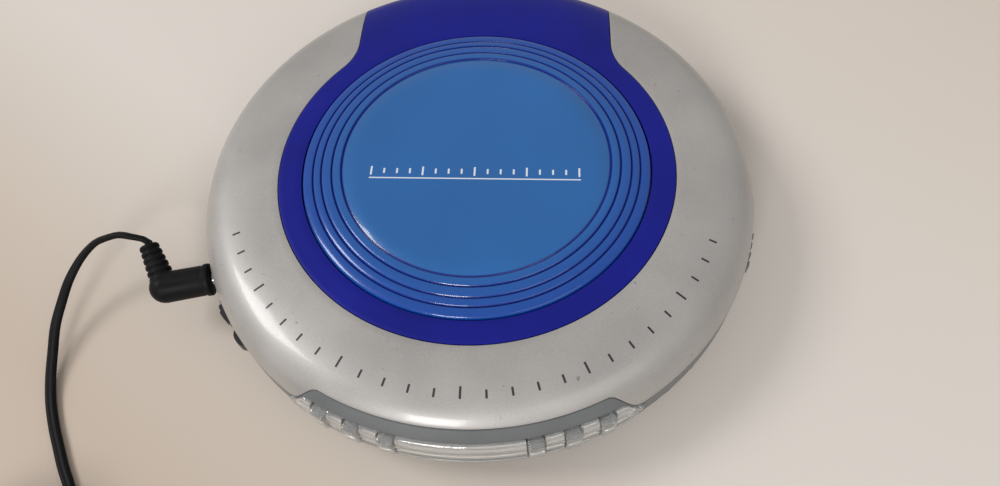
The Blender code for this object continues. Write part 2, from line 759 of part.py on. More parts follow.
def deck_cutters():
    made = [
        turned(
            "hub_hole",
            [(0.0, BAY_TOP - OVERRUN), (HUB_HOLE, BAY_TOP - OVERRUN), (HUB_HOLE, DECK_TOP), (0.0, DECK_TOP)],
            None,
            28,
        ),
        prism(
            "sled_slot",
            slot_outline(0.0, SLED_SLOT_END, SLED_SLOT_HALF, SLED_SLOT_CORNER),
            BAY_TOP - OVERRUN,
            DECK_TOP - GAP,
        ),
        make_trim_pocket(),
    ]
    for side, name in ((-1.0, "left"), (1.0, "right")):
        spot = (side * SCALLOP_OFFSET * 0.31, -SCALLOP_OFFSET * 0.95)
        made.append(
            rod(
                "scallop_" + name,
                (*spot, DECK_TOP - SCALLOP_DEPTH),
                (*spot, CROWN_TOP),
                SCALLOP_RADIUS,
                sides=24,
            )
        )
    for i, angle in enumerate(BUTTON_ANGLES):
        made.append(
            button_box(
                f"button_hole_{i}", angle, BUTTON_STEM_IN - OVERRUN, CASE_RADIUS + OVERRUN, BUTTON_HOLE_ROOM
            )
        )
    for i, (x, y) in enumerate(SCREW_SPOTS):
        made.append(
            rod(
                f"deck_screw_bore_{i}",
                (x, y, SPLIT_HEIGHT - OVERRUN),
                (x, y, BAY_TOP - WALL),
                SCREW_BORE,
                sides=8,
            )
        )
    made.append(
        hinge_bar(
            "deck_pin_bore",
            -DECK_KNUCKLE_END - OVERRUN,
            DECK_KNUCKLE_END + OVERRUN,
            PIN_RADIUS + PIN_CLEARANCE,
        )
    )
    trough = KNUCKLE_RADIUS + GAP
    made.append(
        hinge_bar("hinge_trough", -LID_KNUCKLE_END, LID_KNUCKLE_END, trough, sides=20)
    )
    made.append(
        block(
            "spring_notch",
            (SPRING_BAY / 2.0, NOTCH_IN, HINGE_HEIGHT + NOTCH_RISE),
            (SPRING_BAY, HINGE_Y, LID_EDGE + GAP),
        )
    )
    jack = frame_at(JACK_ANGLE, CASE_RADIUS, JACK_HEIGHT, JACK_HEADING)
    made.append(
        rod(
            "jack_mouth",
            jack @ Vector((-OVERRUN, 0.0, 0.0)),
            jack @ Vector((OVERRUN, 0.0, 0.0)),
            JACK_BORE + GAP,
        )
    )
    inlet = frame_at(INLET_ANGLE, CASE_RADIUS, INLET_HEIGHT)
    made.append(
        rod(
            "inlet_mouth",
            inlet @ Vector((-OVERRUN, 0.0, 0.0)),
            inlet @ Vector((OVERRUN, 0.0, 0.0)),
            INLET_BORE + GAP,
        )
    )
    wheel = frame_at(WHEEL_ANGLE, WHEEL_CENTRE, 0.0)
    made.append(
        rod(
            "wheel_slot",
            wheel @ Vector((0.0, 0.0, WHEEL_LOW - GAP)),
            wheel @ Vector((0.0, 0.0, WHEEL_LOW + WHEEL_THICK + GAP)),
            WHEEL_RADIUS + GAP,
            sides=24,
        )
    )
    knob = frame_at(KNOB_ANGLE, CASE_RADIUS, KNOB_LEVEL)
    half = KNOB_LENGTH / 2.0 + GAP
    made.append(
        block(
            "knob_slot",
            (-OVERRUN, -half, -KNOB_HEIGHT / 2.0 - GAP),
            (OVERRUN, half + KNOB_TRAVEL, KNOB_HEIGHT / 2.0 + GAP),
            frame=knob,
        )
    )
    slide = frame_at(OPEN_ANGLE, CASE_RADIUS, OPEN_LEVEL)
    half = OPEN_LENGTH / 2.0 + GAP
    made.append(
        block(
            "open_slot",
            (-OVERRUN, -half, -OPEN_HEIGHT / 2.0 - GAP),
            (OVERRUN, half + OPEN_TRAVEL, OPEN_HEIGHT / 2.0 + GAP),
            frame=slide,
        )
    )
    hook = frame_at(HOOK_ANGLE, HOOK_RADIUS, DECK_TOP)
    half = HOOK_WIDTH / 2.0
    made.append(
        block(
            "hook_hole",
            (-GAP, -half - GAP, -WALL - OVERRUN / 2.0),
            (HOOK_THICK + HOOK_BARB + GAP, half + 3.0 * GAP, OVERRUN),
            frame=hook,
        )
    )
    rib = frame_at(SWITCH_ANGLE, RIB_RADIUS, DECK_TOP)
    made.append(
        block(
            "rib_hole",
            (-2.0 * GAP, -RIB_SIZE - GAP, -WALL - OVERRUN / 2.0),
            (RIB_SIZE + GAP, RIB_SIZE + 3.0 * GAP, OVERRUN),
            frame=rib,
        )
    )
    return made


def make_deck():
    deck = ring("deck", angles_round(), deck_section, GREY)
    join(deck, *deck_additions())
    cut(deck, *deck_cutters())
    return deck


# Clear strip and buttons

GROOVE_DEPTH = 0.25 * MM
GROOVE_SHARES = (0.34, 0.42, 0.66, 0.74)


def make_button_trim():
    def section(angle):
        low, high = trim_heights(angle)
        tall = high - low
        levels = [low, low + tall * GROOVE_SHARES[0], low + tall * GROOVE_SHARES[1]]
        levels += [low + tall * GROOVE_SHARES[2], low + tall * GROOVE_SHARES[3], high]
        sunk = (0.0, 0.0, GROOVE_DEPTH, GROOVE_DEPTH, 0.0, 0.0)
        outside = [
            (case_profile(level) + TRIM_PROUD - depth, level) for level, depth in zip(levels, sunk)
        ]
        return outside + [(TRIM_INNER, high), (TRIM_INNER, low)]

    trim = ring("button_trim", trim_angles(FRONT_HALF_ANGLE), section, CLEAR, closed=False)
    for i, angle in enumerate(BUTTON_ANGLES):
        half = BUTTON_WIDTH / 2.0 + GAP
        cut(
            trim,
            block(
                f"trim_window_{i}",
                (TRIM_INNER - OVERRUN, -half, BUTTON_LOW - GAP),
                (CASE_RADIUS + OVERRUN, half, TRIM_HIGH + OVERRUN),
                frame=Matrix.Rotation(angle, 4, "Z"),
            ),
        )
    return trim


BUTTON_FACE = CASE_RADIUS + TRIM_PROUD + BUTTON_PROUD


def make_buttons():
    made = []
    for i, angle in enumerate(BUTTON_ANGLES):
        button = button_box(
            f"button_{i + 1}", angle, BUTTON_STEM_IN, BUTTON_FACE, 0.0, CLEAR, BUTTON_CORNER
        )
        flange = block(
            f"button_flange_{i}",
            (BUTTON_STEM_IN, -BUTTON_WIDTH / 2.0 - BUTTON_LIP, BUTTON_LOW + BUTTON_LIP),
            (BUTTON_STEM_IN + BUTTON_FLANGE, BUTTON_WIDTH / 2.0 + BUTTON_LIP, BUTTON_HIGH - BUTTON_LIP),
            frame=Matrix.Rotation(angle, 4, "Z"),
        )
        join(button, flange)
        made.append(button)
        face = frame_at(angle, BUTTON_FACE, (BUTTON_LOW + BUTTON_HIGH) / 2.0)
        carry(pivot(f"button_{i + 1}_slide", face.translation), button)
    return made


# Boards and the parts on them

BOARD_HEIGHT = 6.6 * MM
BOARD_THICK = 1.2 * MM
BOARD_TOP = BOARD_HEIGHT + BOARD_THICK
BOARD_OUTER = 65.2 * MM
BOARD_INNER = 50.0 * MM
BOARD_START = math.radians(-194.0)
BOARD_END = math.radians(-44.0)
BOARD_POSTS = tuple(math.radians(a) for a in (-180.0, -126.0, -90.0, -56.0))
POST_RADIUS = 2.2 * MM
KEY_BOARD_RADIUS = 60.6 * MM
KEY_BOARD_THICK = 1.0 * MM
KEY_BOARD_HALF = 11.0 * MM
KEY_BOARD_TALL = 9.4 * MM
KEY_SIZE = 3.2 * MM
KEY_BODY = 2.0 * MM
KEY_STEM = 0.9 * MM
KEY_CLEARANCE = 0.15 * MM


def make_main_board():
    outer = arc((0.0, 0.0), BOARD_OUTER, BOARD_START, BOARD_END, 22)
    inner = arc((0.0, 0.0), BOARD_INNER, BOARD_END, BOARD_START, 14)
    return prism("main_board", outer + inner, BOARD_HEIGHT, BOARD_TOP, BOARD)


def make_key_board(name, angles):
    middle = sum(angles) / len(angles)
    turn = Matrix.Rotation(middle, 4, "Z")
    low = BOARD_TOP + GAP
    board = block(
        name,
        (KEY_BOARD_RADIUS, -KEY_BOARD_HALF, low),
        (KEY_BOARD_RADIUS + KEY_BOARD_THICK, KEY_BOARD_HALF, low + KEY_BOARD_TALL),
        BOARD,
        turn,
    )
    front = KEY_BOARD_RADIUS + KEY_BOARD_THICK
    height = (BUTTON_LOW + BUTTON_HIGH) / 2.0
    for i, angle in enumerate(angles):
        aside = (front + KEY_BODY) * math.tan(angle - middle)
        tip = (BUTTON_STEM_IN - BUTTON_TRAVEL - KEY_CLEARANCE) * math.cos(angle - middle)
        half = KEY_SIZE / 2.0
        join(
            board,
            block(
                f"{name}_key_{i}",
                (front - KEY_BOARD_THICK / 2.0, aside - half, height - half),
                (front + KEY_BODY / 2.0, aside + half, height + half),
                frame=turn,
            ),
            rod(
                f"{name}_stem_{i}",
                turn @ Vector((front, aside, height)),
                turn @ Vector((tip, aside, height)),
                KEY_STEM,
                sides=8,
            ),
        )
    return board


WHEEL_TEETH = 20
WHEEL_TOOTH = 0.35 * MM
WHEEL_BORE = 1.2 * MM
WHEEL_WEB = 1.2 * MM
POT_IN = 5.5 * MM
POT_OUT = 1.4 * MM
POT_HALF = 3.4 * MM
POT_PIN = 0.8 * MM


def gear_outline(teeth, root, tip, root_share, tip_share, turn=0.0, centre=(0.0, 0.0)):
    """Flat-topped teeth round a circle, four points to a tooth."""
    found = []
    pitch = FULL_TURN / teeth
    for i in range(teeth):
        for radius, off in (
            (root, -root_share / 2.0),
            (tip, -tip_share / 2.0),
            (tip, tip_share / 2.0),
            (root, root_share / 2.0),
        ):
            angle = turn + (i + off) * pitch
            found.append((centre[0] + radius * math.cos(angle), centre[1] + radius * math.sin(angle)))
    return found


def make_volume_parts():
    centre = frame_at(WHEEL_ANGLE, WHEEL_CENTRE, 0.0).translation
    outline = gear_outline(
        WHEEL_TEETH, WHEEL_RADIUS - WHEEL_TOOTH, WHEEL_RADIUS, 0.7, 0.5, WHEEL_ANGLE, centre
    )
    wheel = prism("volume_wheel", outline, WHEEL_LOW, WHEEL_LOW + WHEEL_THICK, BLACK)
    cut(
        wheel,
        rod(
            "wheel_bore",
            (centre.x, centre.y, WHEEL_LOW - OVERRUN),
            (centre.x, centre.y, WHEEL_LOW + WHEEL_THICK - WHEEL_WEB),
            WHEEL_BORE,
            sides=8,
        ),
    )
    carry(pivot("volume_axis", (centre.x, centre.y, WHEEL_LOW)), wheel)
    pot = block(
        "volume_pot",
        (-POT_IN, -POT_HALF, BOARD_TOP + GAP),
        (POT_OUT, POT_HALF, WHEEL_LOW - 2.0 * GAP),
        INNER,
        frame_at(WHEEL_ANGLE, WHEEL_CENTRE, 0.0),
    )
    join(
        pot,
        rod(
            "pot_pin",
            (centre.x, centre.y, BOARD_TOP + WALL),
            (centre.x, centre.y, WHEEL_LOW + WHEEL_THICK - WHEEL_WEB - GAP),
            POT_PIN,
            sides=8,
        ),
    )
    return wheel, pot


KNOB_TAIL = 4.2 * MM
KNOB_TAIL_HALF = 1.0 * MM
KNOB_TAIL_SHIFT = 1.2 * MM
SWITCH_CHEEK = 0.7 * MM
SWITCH_BODY = 4.6 * MM
SWITCH_RADIUS = 60.4 * MM


def make_bass_switch():
    frame = frame_at(KNOB_ANGLE, CASE_RADIUS, KNOB_LEVEL)
    half = KNOB_LENGTH / 2.0
    tall = KNOB_HEIGHT / 2.0
    crest = [
        (-WALL, -half),
        (KNOB_PROUD * 0.2, -half),
        (KNOB_PROUD * 0.75, -half * 0.68),
        (KNOB_PROUD, -half * 0.25),
        (KNOB_PROUD, half * 0.25),
        (KNOB_PROUD * 0.75, half * 0.68),
        (KNOB_PROUD * 0.2, half),
        (-WALL, half),
    ]
    knob = prism("bass_knob", crest, -tall, tall, BLACK)
    knob.data.transform(frame)
    join(
        knob,
        block(
            "knob_tail",
            (-KNOB_TAIL, KNOB_TAIL_SHIFT - KNOB_TAIL_HALF, -KNOB_TAIL_HALF),
            (-WALL / 2.0, KNOB_TAIL_SHIFT + KNOB_TAIL_HALF, KNOB_TAIL_HALF),
            frame=frame,
        ),
    )
    carry(pivot("bass_slide", frame.translation), knob)
    inner = SWITCH_RADIUS - CASE_RADIUS
    low = KNOB_TAIL_SHIFT - KNOB_TAIL_HALF - GAP
    high = KNOB_TAIL_SHIFT + KNOB_TAIL_HALF + KNOB_TRAVEL + GAP
    body = block(
        "bass_switch",
        (inner, low - SWITCH_CHEEK, BOARD_TOP + GAP - KNOB_LEVEL),
        (inner + SWITCH_BODY, high + SWITCH_CHEEK, tall + WALL),
        INNER,
        frame,
    )
    cut(
        body,
        block(
            "switch_groove",
            (-KNOB_TAIL - GAP, low, -KNOB_TAIL_HALF - GAP),
            (OVERRUN, high, KNOB_TAIL_HALF + GAP),
            frame=frame,
        ),
    )
    return knob, body


JACK_LENGTH = 12.6 * MM
JACK_FRONT = 4.4 * MM
JACK_TALL = 2.7 * MM
PIN_SHAFT = 1.75 * MM
PIN_LENGTH = 14.0 * MM
INLET_LENGTH = 10.0 * MM
INLET_HALF = 4.2 * MM
INLET_PIN = 0.65 * MM
INLET_BACK = 2.0 * MM
INLET_FRONT = 4.0 * MM


def make_jacks():
    frame = frame_at(JACK_ANGLE, CASE_RADIUS, JACK_HEIGHT, JACK_HEADING)
    jack = block(
        "phones_jack",
        (-JACK_FRONT - JACK_LENGTH, -JACK_HALF - GAP, BOARD_TOP + GAP - JACK_HEIGHT),
        (-JACK_FRONT, JACK_HALF, JACK_TALL),
        INNER,
        frame,
    )
    cut(
        jack,
        rod(
            "jack_bore",
            frame @ Vector((-JACK_FRONT - JACK_LENGTH - OVERRUN, 0.0, 0.0)),
            frame @ Vector((OVERRUN, 0.0, 0.0)),
            JACK_BORE,
        ),
    )
    frame = frame_at(INLET_ANGLE, CASE_RADIUS, INLET_HEIGHT)
    inlet = block(
        "power_inlet",
        (-INLET_FRONT - INLET_LENGTH, -INLET_HALF, BOARD_TOP + GAP - INLET_HEIGHT),
        (-INLET_FRONT, INLET_HALF, INLET_HALF - PIN_CLEARANCE),
        INNER,
        frame,
    )
    cut(
        inlet,
        rod(
            "inlet_bore",
            frame @ Vector((INLET_BACK - INLET_FRONT - INLET_LENGTH, 0.0, 0.0)),
            frame @ Vector((OVERRUN, 0.0, 0.0)),
            INLET_BORE,
        ),
    )
    join(
        inlet,
        rod(
            "inlet_pin",
            frame @ Vector((-INLET_FRONT - INLET_LENGTH + INLET_BACK / 2.0, 0.0, 0.0)),
            frame @ Vector((-INLET_FRONT - GAP, 0.0, 0.0)),
            INLET_PIN,
            sides=8,
        ),
    )
    return jack, inlet


OPEN_PROUD = 0.6 * MM
CLAW_REACH = 3.4 * MM
CLAW_STEM = 1.1 * MM
CLAW_RISE = 7.0 * MM
CLAW_ARM = 1.2 * MM
CLAW_HALF = 1.2 * MM
OPEN_RIBS = 4
LID_SWITCH_HALF = 2.6 * MM


def make_release_parts():
    frame = frame_at(OPEN_ANGLE, CASE_RADIUS, OPEN_LEVEL)
    half = OPEN_LENGTH / 2.0
    tall = OPEN_HEIGHT / 2.0
    slide = block(
        "open_slide",
        (-WALL - GAP, -half, -tall),
        (-THUMB_DEPTH / 4.0, half, tall),
        BLACK,
        frame,
    )
    for i in range(OPEN_RIBS):
        at = half * (2.0 * (i + 0.5) / OPEN_RIBS - 1.0)
        rib = OPEN_LENGTH / OPEN_RIBS / 4.0
        join(
            slide,
            block(
                f"open_rib_{i}",
                (-WALL / 2.0, at - rib, -tall),
                (OPEN_PROUD, at + rib, tall),
                frame=frame,
            ),
        )
    claw_in = -WALL - GAP - CLAW_REACH
    claw = [
        (-WALL, GAP - tall),
        (-WALL, GAP - tall + CLAW_ARM),
        (claw_in + CLAW_STEM, GAP - tall + CLAW_ARM),
        (claw_in + CLAW_STEM, GAP - tall + CLAW_RISE),
        (claw_in, GAP - tall + CLAW_RISE),
        (claw_in, GAP - tall),
    ]
    beside = frame @ Matrix.Translation((0.0, half - GAP - CLAW_HALF, 0.0))
    join(slide, across("open_claw", claw, CLAW_HALF, beside))
    carry(pivot("open_slide_axis", frame.translation), slide)
    rib_under = LINER_UNDER - RIB_DROP
    frame = frame_at(SWITCH_ANGLE, RIB_RADIUS, 0.0)
    switch = block(
        "lid_switch",
        (-PIN_CLEARANCE, -LID_SWITCH_HALF, BOARD_TOP + GAP),
        (RIB_SIZE, LID_SWITCH_HALF, rib_under - GAP),
        INNER,
        frame,
    )
    return slide, switch


# Mechanism

CHASSIS_HEIGHT = 9.6 * MM
CHASSIS_THICK = 1.2 * MM
CHASSIS_TOP = CHASSIS_HEIGHT + CHASSIS_THICK
CHASSIS_LEFT = -18.0 * MM
CHASSIS_RIGHT = 61.2 * MM
CHASSIS_BACK = 19.6 * MM
CHASSIS_FRONT = -20.5 * MM
EAR_LEFT = 5.0 * MM
EAR_RIGHT = 38.0 * MM
EAR_FRONT = -36.0 * MM
EAR_CHAMFER = 6.0 * MM
ROD_RADIUS = 1.0 * MM
ROD_HEIGHT = 14.9 * MM
MAIN_ROD_Y = -16.5 * MM
SIDE_ROD_Y = 15.8 * MM
ROD_START = 10.0 * MM
ROD_END = 61.5 * MM
ROD_POST = 2.2 * MM
ROD_POST_HALF = 2.1 * MM
MOTOR_RADIUS = 11.0 * MM
MOTOR_LOW = 4.6 * MM
MOTOR_TOP = 16.0 * MM
MOTOR_COLLAR = 1.4 * MM
SHAFT_RADIUS = 1.0 * MM
PLATTER_RADIUS = 13.0 * MM
PLATTER_THICK = 1.4 * MM
HUB_RADIUS = 7.4 * MM
HUB_RISE = 2.1 * MM
HUB_NECK = 4.0 * MM
CLAW_WIDTH = 2.4 * MM
CLAW_SLIT = 0.5 * MM
DAMPER_SPOTS = ((-13.5 * MM, 14.5 * MM), (-13.5 * MM, -15.5 * MM), (54.0 * MM, 8.0 * MM))
DAMPER_RADIUS = 3.6 * MM
DAMPER_NECK = 2.5 * MM
DAMPER_BORE = 1.7 * MM
DAMPER_FLANGE = 1.3 * MM
DAMPER_POST = 1.4 * MM

MODULE = 0.5 * MM
FEED_TEETH = 40
DRIVE_TEETH = 12
PINION_TEETH = 10
RACK_PITCH = math.pi * MODULE
FEED_X = 27.0 * MM
RACK_LINE = -20.8 * MM
DRIVE_RADIUS = MODULE * DRIVE_TEETH / 2.0
FEED_RADIUS = MODULE * FEED_TEETH / 2.0
PINION_RADIUS = MODULE * PINION_TEETH / 2.0
FEED_Y = RACK_LINE - DRIVE_RADIUS
PINION_ANGLE = math.radians(196.0)
FEED_LOW = CHASSIS_TOP + GAP
FEED_THICK = 1.3 * MM
DRIVE_THICK = 2.9 * MM
FEED_AXLE = 0.9 * MM
FEED_BORE = 1.15 * MM
FEED_MOTOR_RADIUS = 7.4 * MM
FEED_MOTOR_LOW = 3.6 * MM
PINION_THICK = 1.9 * MM
TOOTH_ROOT_SHARE = 0.62
TOOTH_TIP_SHARE = 0.26
TOOTH_DROP = 0.62 * MM
TOOTH_RISE = 0.42 * MM


def pinion_centre():
    reach = FEED_RADIUS + PINION_RADIUS
    return (FEED_X + reach * math.cos(PINION_ANGLE), FEED_Y + reach * math.sin(PINION_ANGLE))


def make_chassis():
    outline = [
        (CHASSIS_LEFT, CHASSIS_FRONT),
        (EAR_LEFT - EAR_CHAMFER, CHASSIS_FRONT),
        (EAR_LEFT, CHASSIS_FRONT - EAR_CHAMFER),
        (EAR_LEFT, EAR_FRONT),
        (EAR_RIGHT - EAR_CHAMFER, EAR_FRONT),
        (EAR_RIGHT, EAR_FRONT + EAR_CHAMFER),
        (EAR_RIGHT, CHASSIS_FRONT),
        (CHASSIS_RIGHT, CHASSIS_FRONT),
        (CHASSIS_RIGHT, CHASSIS_BACK),
        (CHASSIS_LEFT, CHASSIS_BACK),
    ]
    chassis = prism("chassis", outline, CHASSIS_HEIGHT, CHASSIS_TOP, STEEL)
    for side, y in (("main", MAIN_ROD_Y), ("side", SIDE_ROD_Y)):
        for end, x in (("in", ROD_START - ROD_POST), ("out", ROD_END - ROD_POST)):
            join(
                chassis,
                block(
                    f"rod_post_{side}_{end}",
                    (x, y - ROD_POST_HALF, CHASSIS_HEIGHT + CHASSIS_THICK / 2.0),
                    (x + ROD_POST, y + ROD_POST_HALF, ROD_HEIGHT + ROD_RADIUS + GAP),
                ),
            )
        cut(
            chassis,
            rod(
                f"rod_bore_{side}",
                (ROD_START - ROD_POST - OVERRUN, y, ROD_HEIGHT),
                (ROD_END + OVERRUN, y, ROD_HEIGHT),
                ROD_RADIUS + GAP / 2.0,
            ),
        )
    join(
        chassis,
        rod(
            "feed_axle",
            (FEED_X, FEED_Y, CHASSIS_HEIGHT + CHASSIS_THICK / 2.0),
            (FEED_X, FEED_Y, FEED_LOW + FEED_THICK + DRIVE_THICK),
            FEED_AXLE,
        ),
    )
    holes = [((0.0, 0.0), MOTOR_RADIUS + GAP, 28), (pinion_centre(), SHAFT_RADIUS + GAP, ROD_SIDES)]
    holes += [(spot, DAMPER_NECK + GAP / 2.0, SMALL_SIDES) for spot in DAMPER_SPOTS]
    for i, ((x, y), radius, sides) in enumerate(holes):
        cut(
            chassis,
            rod(
                f"chassis_hole_{i}",
                (x, y, CHASSIS_HEIGHT - OVERRUN),
                (x, y, CHASSIS_TOP + GAP),
                radius,
                sides=sides,
            ),
        )
    return chassis


def make_dampers():
    made = []
    grip = GAP / 2.0
    low, high = CHASSIS_HEIGHT - grip, CHASSIS_TOP + grip
    outline = [
        (DAMPER_BORE, low - DAMPER_FLANGE),
        (DAMPER_RADIUS, low - DAMPER_FLANGE),
        (DAMPER_RADIUS, low),
        (DAMPER_NECK, low),
        (DAMPER_NECK, high),
        (DAMPER_RADIUS - GAP, high),
        (DAMPER_RADIUS - GAP, high + DAMPER_FLANGE),
        (DAMPER_BORE, high + DAMPER_FLANGE),
    ]
    for i, spot in enumerate(DAMPER_SPOTS):
        made.append(turned(f"damper_{i + 1}", outline, RUBBER, SMALL_SIDES, spot))
    return made


def make_spindle():
    collar = CHASSIS_TOP + GAP
    motor = turned(
        "spindle_motor",
        [
            (0.0, MOTOR_LOW),
            (MOTOR_RADIUS - MOTOR_COLLAR, MOTOR_LOW),
            (MOTOR_RADIUS, MOTOR_LOW + MOTOR_COLLAR / 2.0),
            (MOTOR_RADIUS, collar),
            (MOTOR_RADIUS + MOTOR_COLLAR, collar),
            (MOTOR_RADIUS + MOTOR_COLLAR, collar + MOTOR_COLLAR),
            (MOTOR_RADIUS, collar + MOTOR_COLLAR),
            (MOTOR_RADIUS, MOTOR_TOP - MOTOR_COLLAR / 2.0),
            (MOTOR_RADIUS - MOTOR_COLLAR, MOTOR_TOP),
            (0.0, MOTOR_TOP),
        ],
        STEEL,
        20,
    )
    neck_low = MOTOR_TOP + WALL
    platter_low = DISC_UNDER - PLATTER_THICK
    hub_top = DISC_UNDER + HUB_RISE
    shaft = rod(
        "spindle_shaft",
        (0.0, 0.0, MOTOR_TOP + GAP),
        (0.0, 0.0, hub_top - WALL),
        SHAFT_RADIUS,
        STEEL,
    )
    hub = turned(
        "turntable",
        [
            (SHAFT_RADIUS + GAP / 2.0, neck_low),
            (HUB_NECK, neck_low),
            (HUB_NECK, platter_low),
            (PLATTER_RADIUS, platter_low),
            (PLATTER_RADIUS, DISC_UNDER),
            (HUB_RADIUS, DISC_UNDER),
            (HUB_RADIUS, hub_top - HUB_RISE / 2.0),
            (HUB_RADIUS - HUB_RISE / 2.0, hub_top),
            (0.0, hub_top),
            (0.0, hub_top - WALL + GAP),
            (SHAFT_RADIUS + GAP / 2.0, hub_top - WALL + GAP),
        ],
        NYLON,
        24,
    )
    for i in range(3):
        turn = Matrix.Rotation(FULL_TURN * i / 3.0 + math.pi / 2.0, 4, "Z")
        for side in (-1.0, 1.0):
            edges = sorted((side * CLAW_WIDTH / 2.0, side * (CLAW_WIDTH / 2.0 + CLAW_SLIT)))
            cut(
                hub,
                block(
                    f"claw_slit_{i}_{side}",
                    (HUB_NECK, edges[0], DISC_UNDER + CLAW_SLIT),
                    (HUB_RADIUS + OVERRUN, edges[1], hub_top + OVERRUN),
                    frame=turn,
                ),
            )
    carry(pivot("spindle_axis", (0.0, 0.0, MOTOR_TOP)), shaft, hub)
    return motor, shaft, hub


def make_rods():
    made = []
    for name, y in (("guide_rod_main", MAIN_ROD_Y), ("guide_rod_side", SIDE_ROD_Y)):
        made.append(
            rod(
                name,
                (ROD_START - ROD_POST, y, ROD_HEIGHT),
                (ROD_END, y, ROD_HEIGHT),
                ROD_RADIUS,
                STEEL,
            )
        )
    return made


LENS_X = 24.0 * MM
SLED_BACK = 8.0 * MM
SLED_FRONT = 4.6 * MM
SLED_LOW = 12.5 * MM
SLED_TOP = 17.2 * MM
SLED_HALF = 12.2 * MM
BUSH_RADIUS = 2.1 * MM
BUSH_LENGTH = 3.4 * MM
BUSH_FRONT = 1.9 * MM
SPINE_ROOM = 0.3 * MM
BUSH_CLEARANCE = 0.3 * MM
COVER_TOP = 18.6 * MM
COVER_HALF_X = 6.2 * MM
COVER_X_SHIFT = -1.6 * MM
COVER_HALF_Y = 8.4 * MM
LENS_WELL = 4.0 * MM
LENS_RADIUS = 2.1 * MM
LENS_HOLDER = 3.3 * MM
LENS_TOP = 19.2 * MM
LENS_DOME = 0.7 * MM
LENS_TRAVEL = 0.4 * MM
RACK_BACK = -8.0 * MM
RACK_BODY = 1.8 * MM
RACK_LOW = 13.4 * MM
RACK_TALL = 1.9 * MM
FORK_THICK = 1.3 * MM
FORK_LENGTH = 4.0 * MM


def rack_teeth(phase_x):
    """Teeth along X that face the drive gear, one space centred on the gear."""
    root = RACK_LINE + TOOTH_DROP
    tip = RACK_LINE - TOOTH_RISE
    first = math.ceil((RACK_BACK - phase_x) / RACK_PITCH)
    last = math.floor((LENS_X + SLED_FRONT - phase_x) / RACK_PITCH) - 1
    found = []
    for i in range(first, last + 1):
        middle = phase_x + (i + 0.5) * RACK_PITCH
        for off, y in (
            (-TOOTH_ROOT_SHARE / 2.0, root),
            (-TOOTH_TIP_SHARE / 2.0, tip),
            (TOOTH_TIP_SHARE / 2.0, tip),
            (TOOTH_ROOT_SHARE / 2.0, root),
        ):
            found.append((middle + off * RACK_PITCH, y))
    return found


def make_sled():
    back, front = LENS_X - SLED_BACK, LENS_X + SLED_FRONT
    sled = block(
        "pickup_sled", (back, -SLED_HALF, SLED_LOW), (front, SLED_HALF, SLED_TOP), BLACK
    )
    bush_end = LENS_X + BUSH_FRONT
    middle = (back + front) / 2.0
    cover_x = LENS_X + COVER_X_SHIFT
    fork_low = ROD_HEIGHT - ROD_RADIUS - BUSH_CLEARANCE
    fork_high = ROD_HEIGHT + ROD_RADIUS + BUSH_CLEARANCE
    join(
        sled,
        block(
            "sled_cover",
            (cover_x - COVER_HALF_X, -COVER_HALF_Y, SLED_TOP - GAP),
            (cover_x + COVER_HALF_X, COVER_HALF_Y, COVER_TOP),
        ),
    )
    for name, low in (("fork_low", fork_low - FORK_THICK), ("fork_high", fork_high)):
        join(
            sled,
            block(
                name,
                (middle - FORK_LENGTH / 2.0, SLED_HALF - GAP, low),
                (middle + FORK_LENGTH / 2.0, SIDE_ROD_Y + ROD_RADIUS, low + FORK_THICK),
            ),
        )
    teeth = rack_teeth(FEED_X)
    spine = MAIN_ROD_Y - ROD_POST_HALF - SPINE_ROOM
    end = front - GAP
    join(
        sled,
        block(
            "bush_web",
            (back + GAP, spine - GAP, SLED_LOW + GAP),
            (bush_end - GAP, -SLED_HALF + GAP, SLED_TOP - GAP),
        ),
    )
    outline = teeth + [(end, teeth[-1][1]), (end, spine), (RACK_BACK, spine), (RACK_BACK, teeth[0][1])]
    join(sled, prism("rack", outline, RACK_LOW, RACK_LOW + RACK_TALL))
    for i, x in enumerate((back - GAP, bush_end - BUSH_LENGTH)):
        join(
            sled,
            rod(
                f"bush_{i}",
                (x, MAIN_ROD_Y, ROD_HEIGHT),
                (x + BUSH_LENGTH, MAIN_ROD_Y, ROD_HEIGHT),
                BUSH_RADIUS,
            ),
        )
    cut(
        sled,
        rod(
            "main_bush_bore",
            (RACK_BACK - OVERRUN, MAIN_ROD_Y, ROD_HEIGHT),
            (front + OVERRUN, MAIN_ROD_Y, ROD_HEIGHT),
            ROD_RADIUS + BUSH_CLEARANCE,
        ),
        rod(
            "lens_well",
            (LENS_X, 0.0, SLED_TOP - WALL),
            (LENS_X, 0.0, COVER_TOP + OVERRUN),
            LENS_WELL,
            sides=20,
        ),
    )
    base = SLED_TOP - WALL + LENS_TRAVEL + GAP
    lens = turned(
        "objective_lens",
        [
            (0.0, base),
            (LENS_HOLDER, base),
            (LENS_HOLDER, LENS_TOP - LENS_DOME),
            (LENS_RADIUS, LENS_TOP - LENS_DOME),
            (LENS_RADIUS * 0.72, LENS_TOP - LENS_DOME * 0.35),
            (0.0, LENS_TOP),
        ],
        LENS_GLASS,
        20,
        (LENS_X, 0.0),
    )
    sled_axis = pivot("sled_slide", (LENS_X, MAIN_ROD_Y, ROD_HEIGHT))
    carry(sled_axis, sled)
    carry(pivot("lens_focus", (LENS_X, 0.0, LENS_TOP)), lens)
    return sled, lens


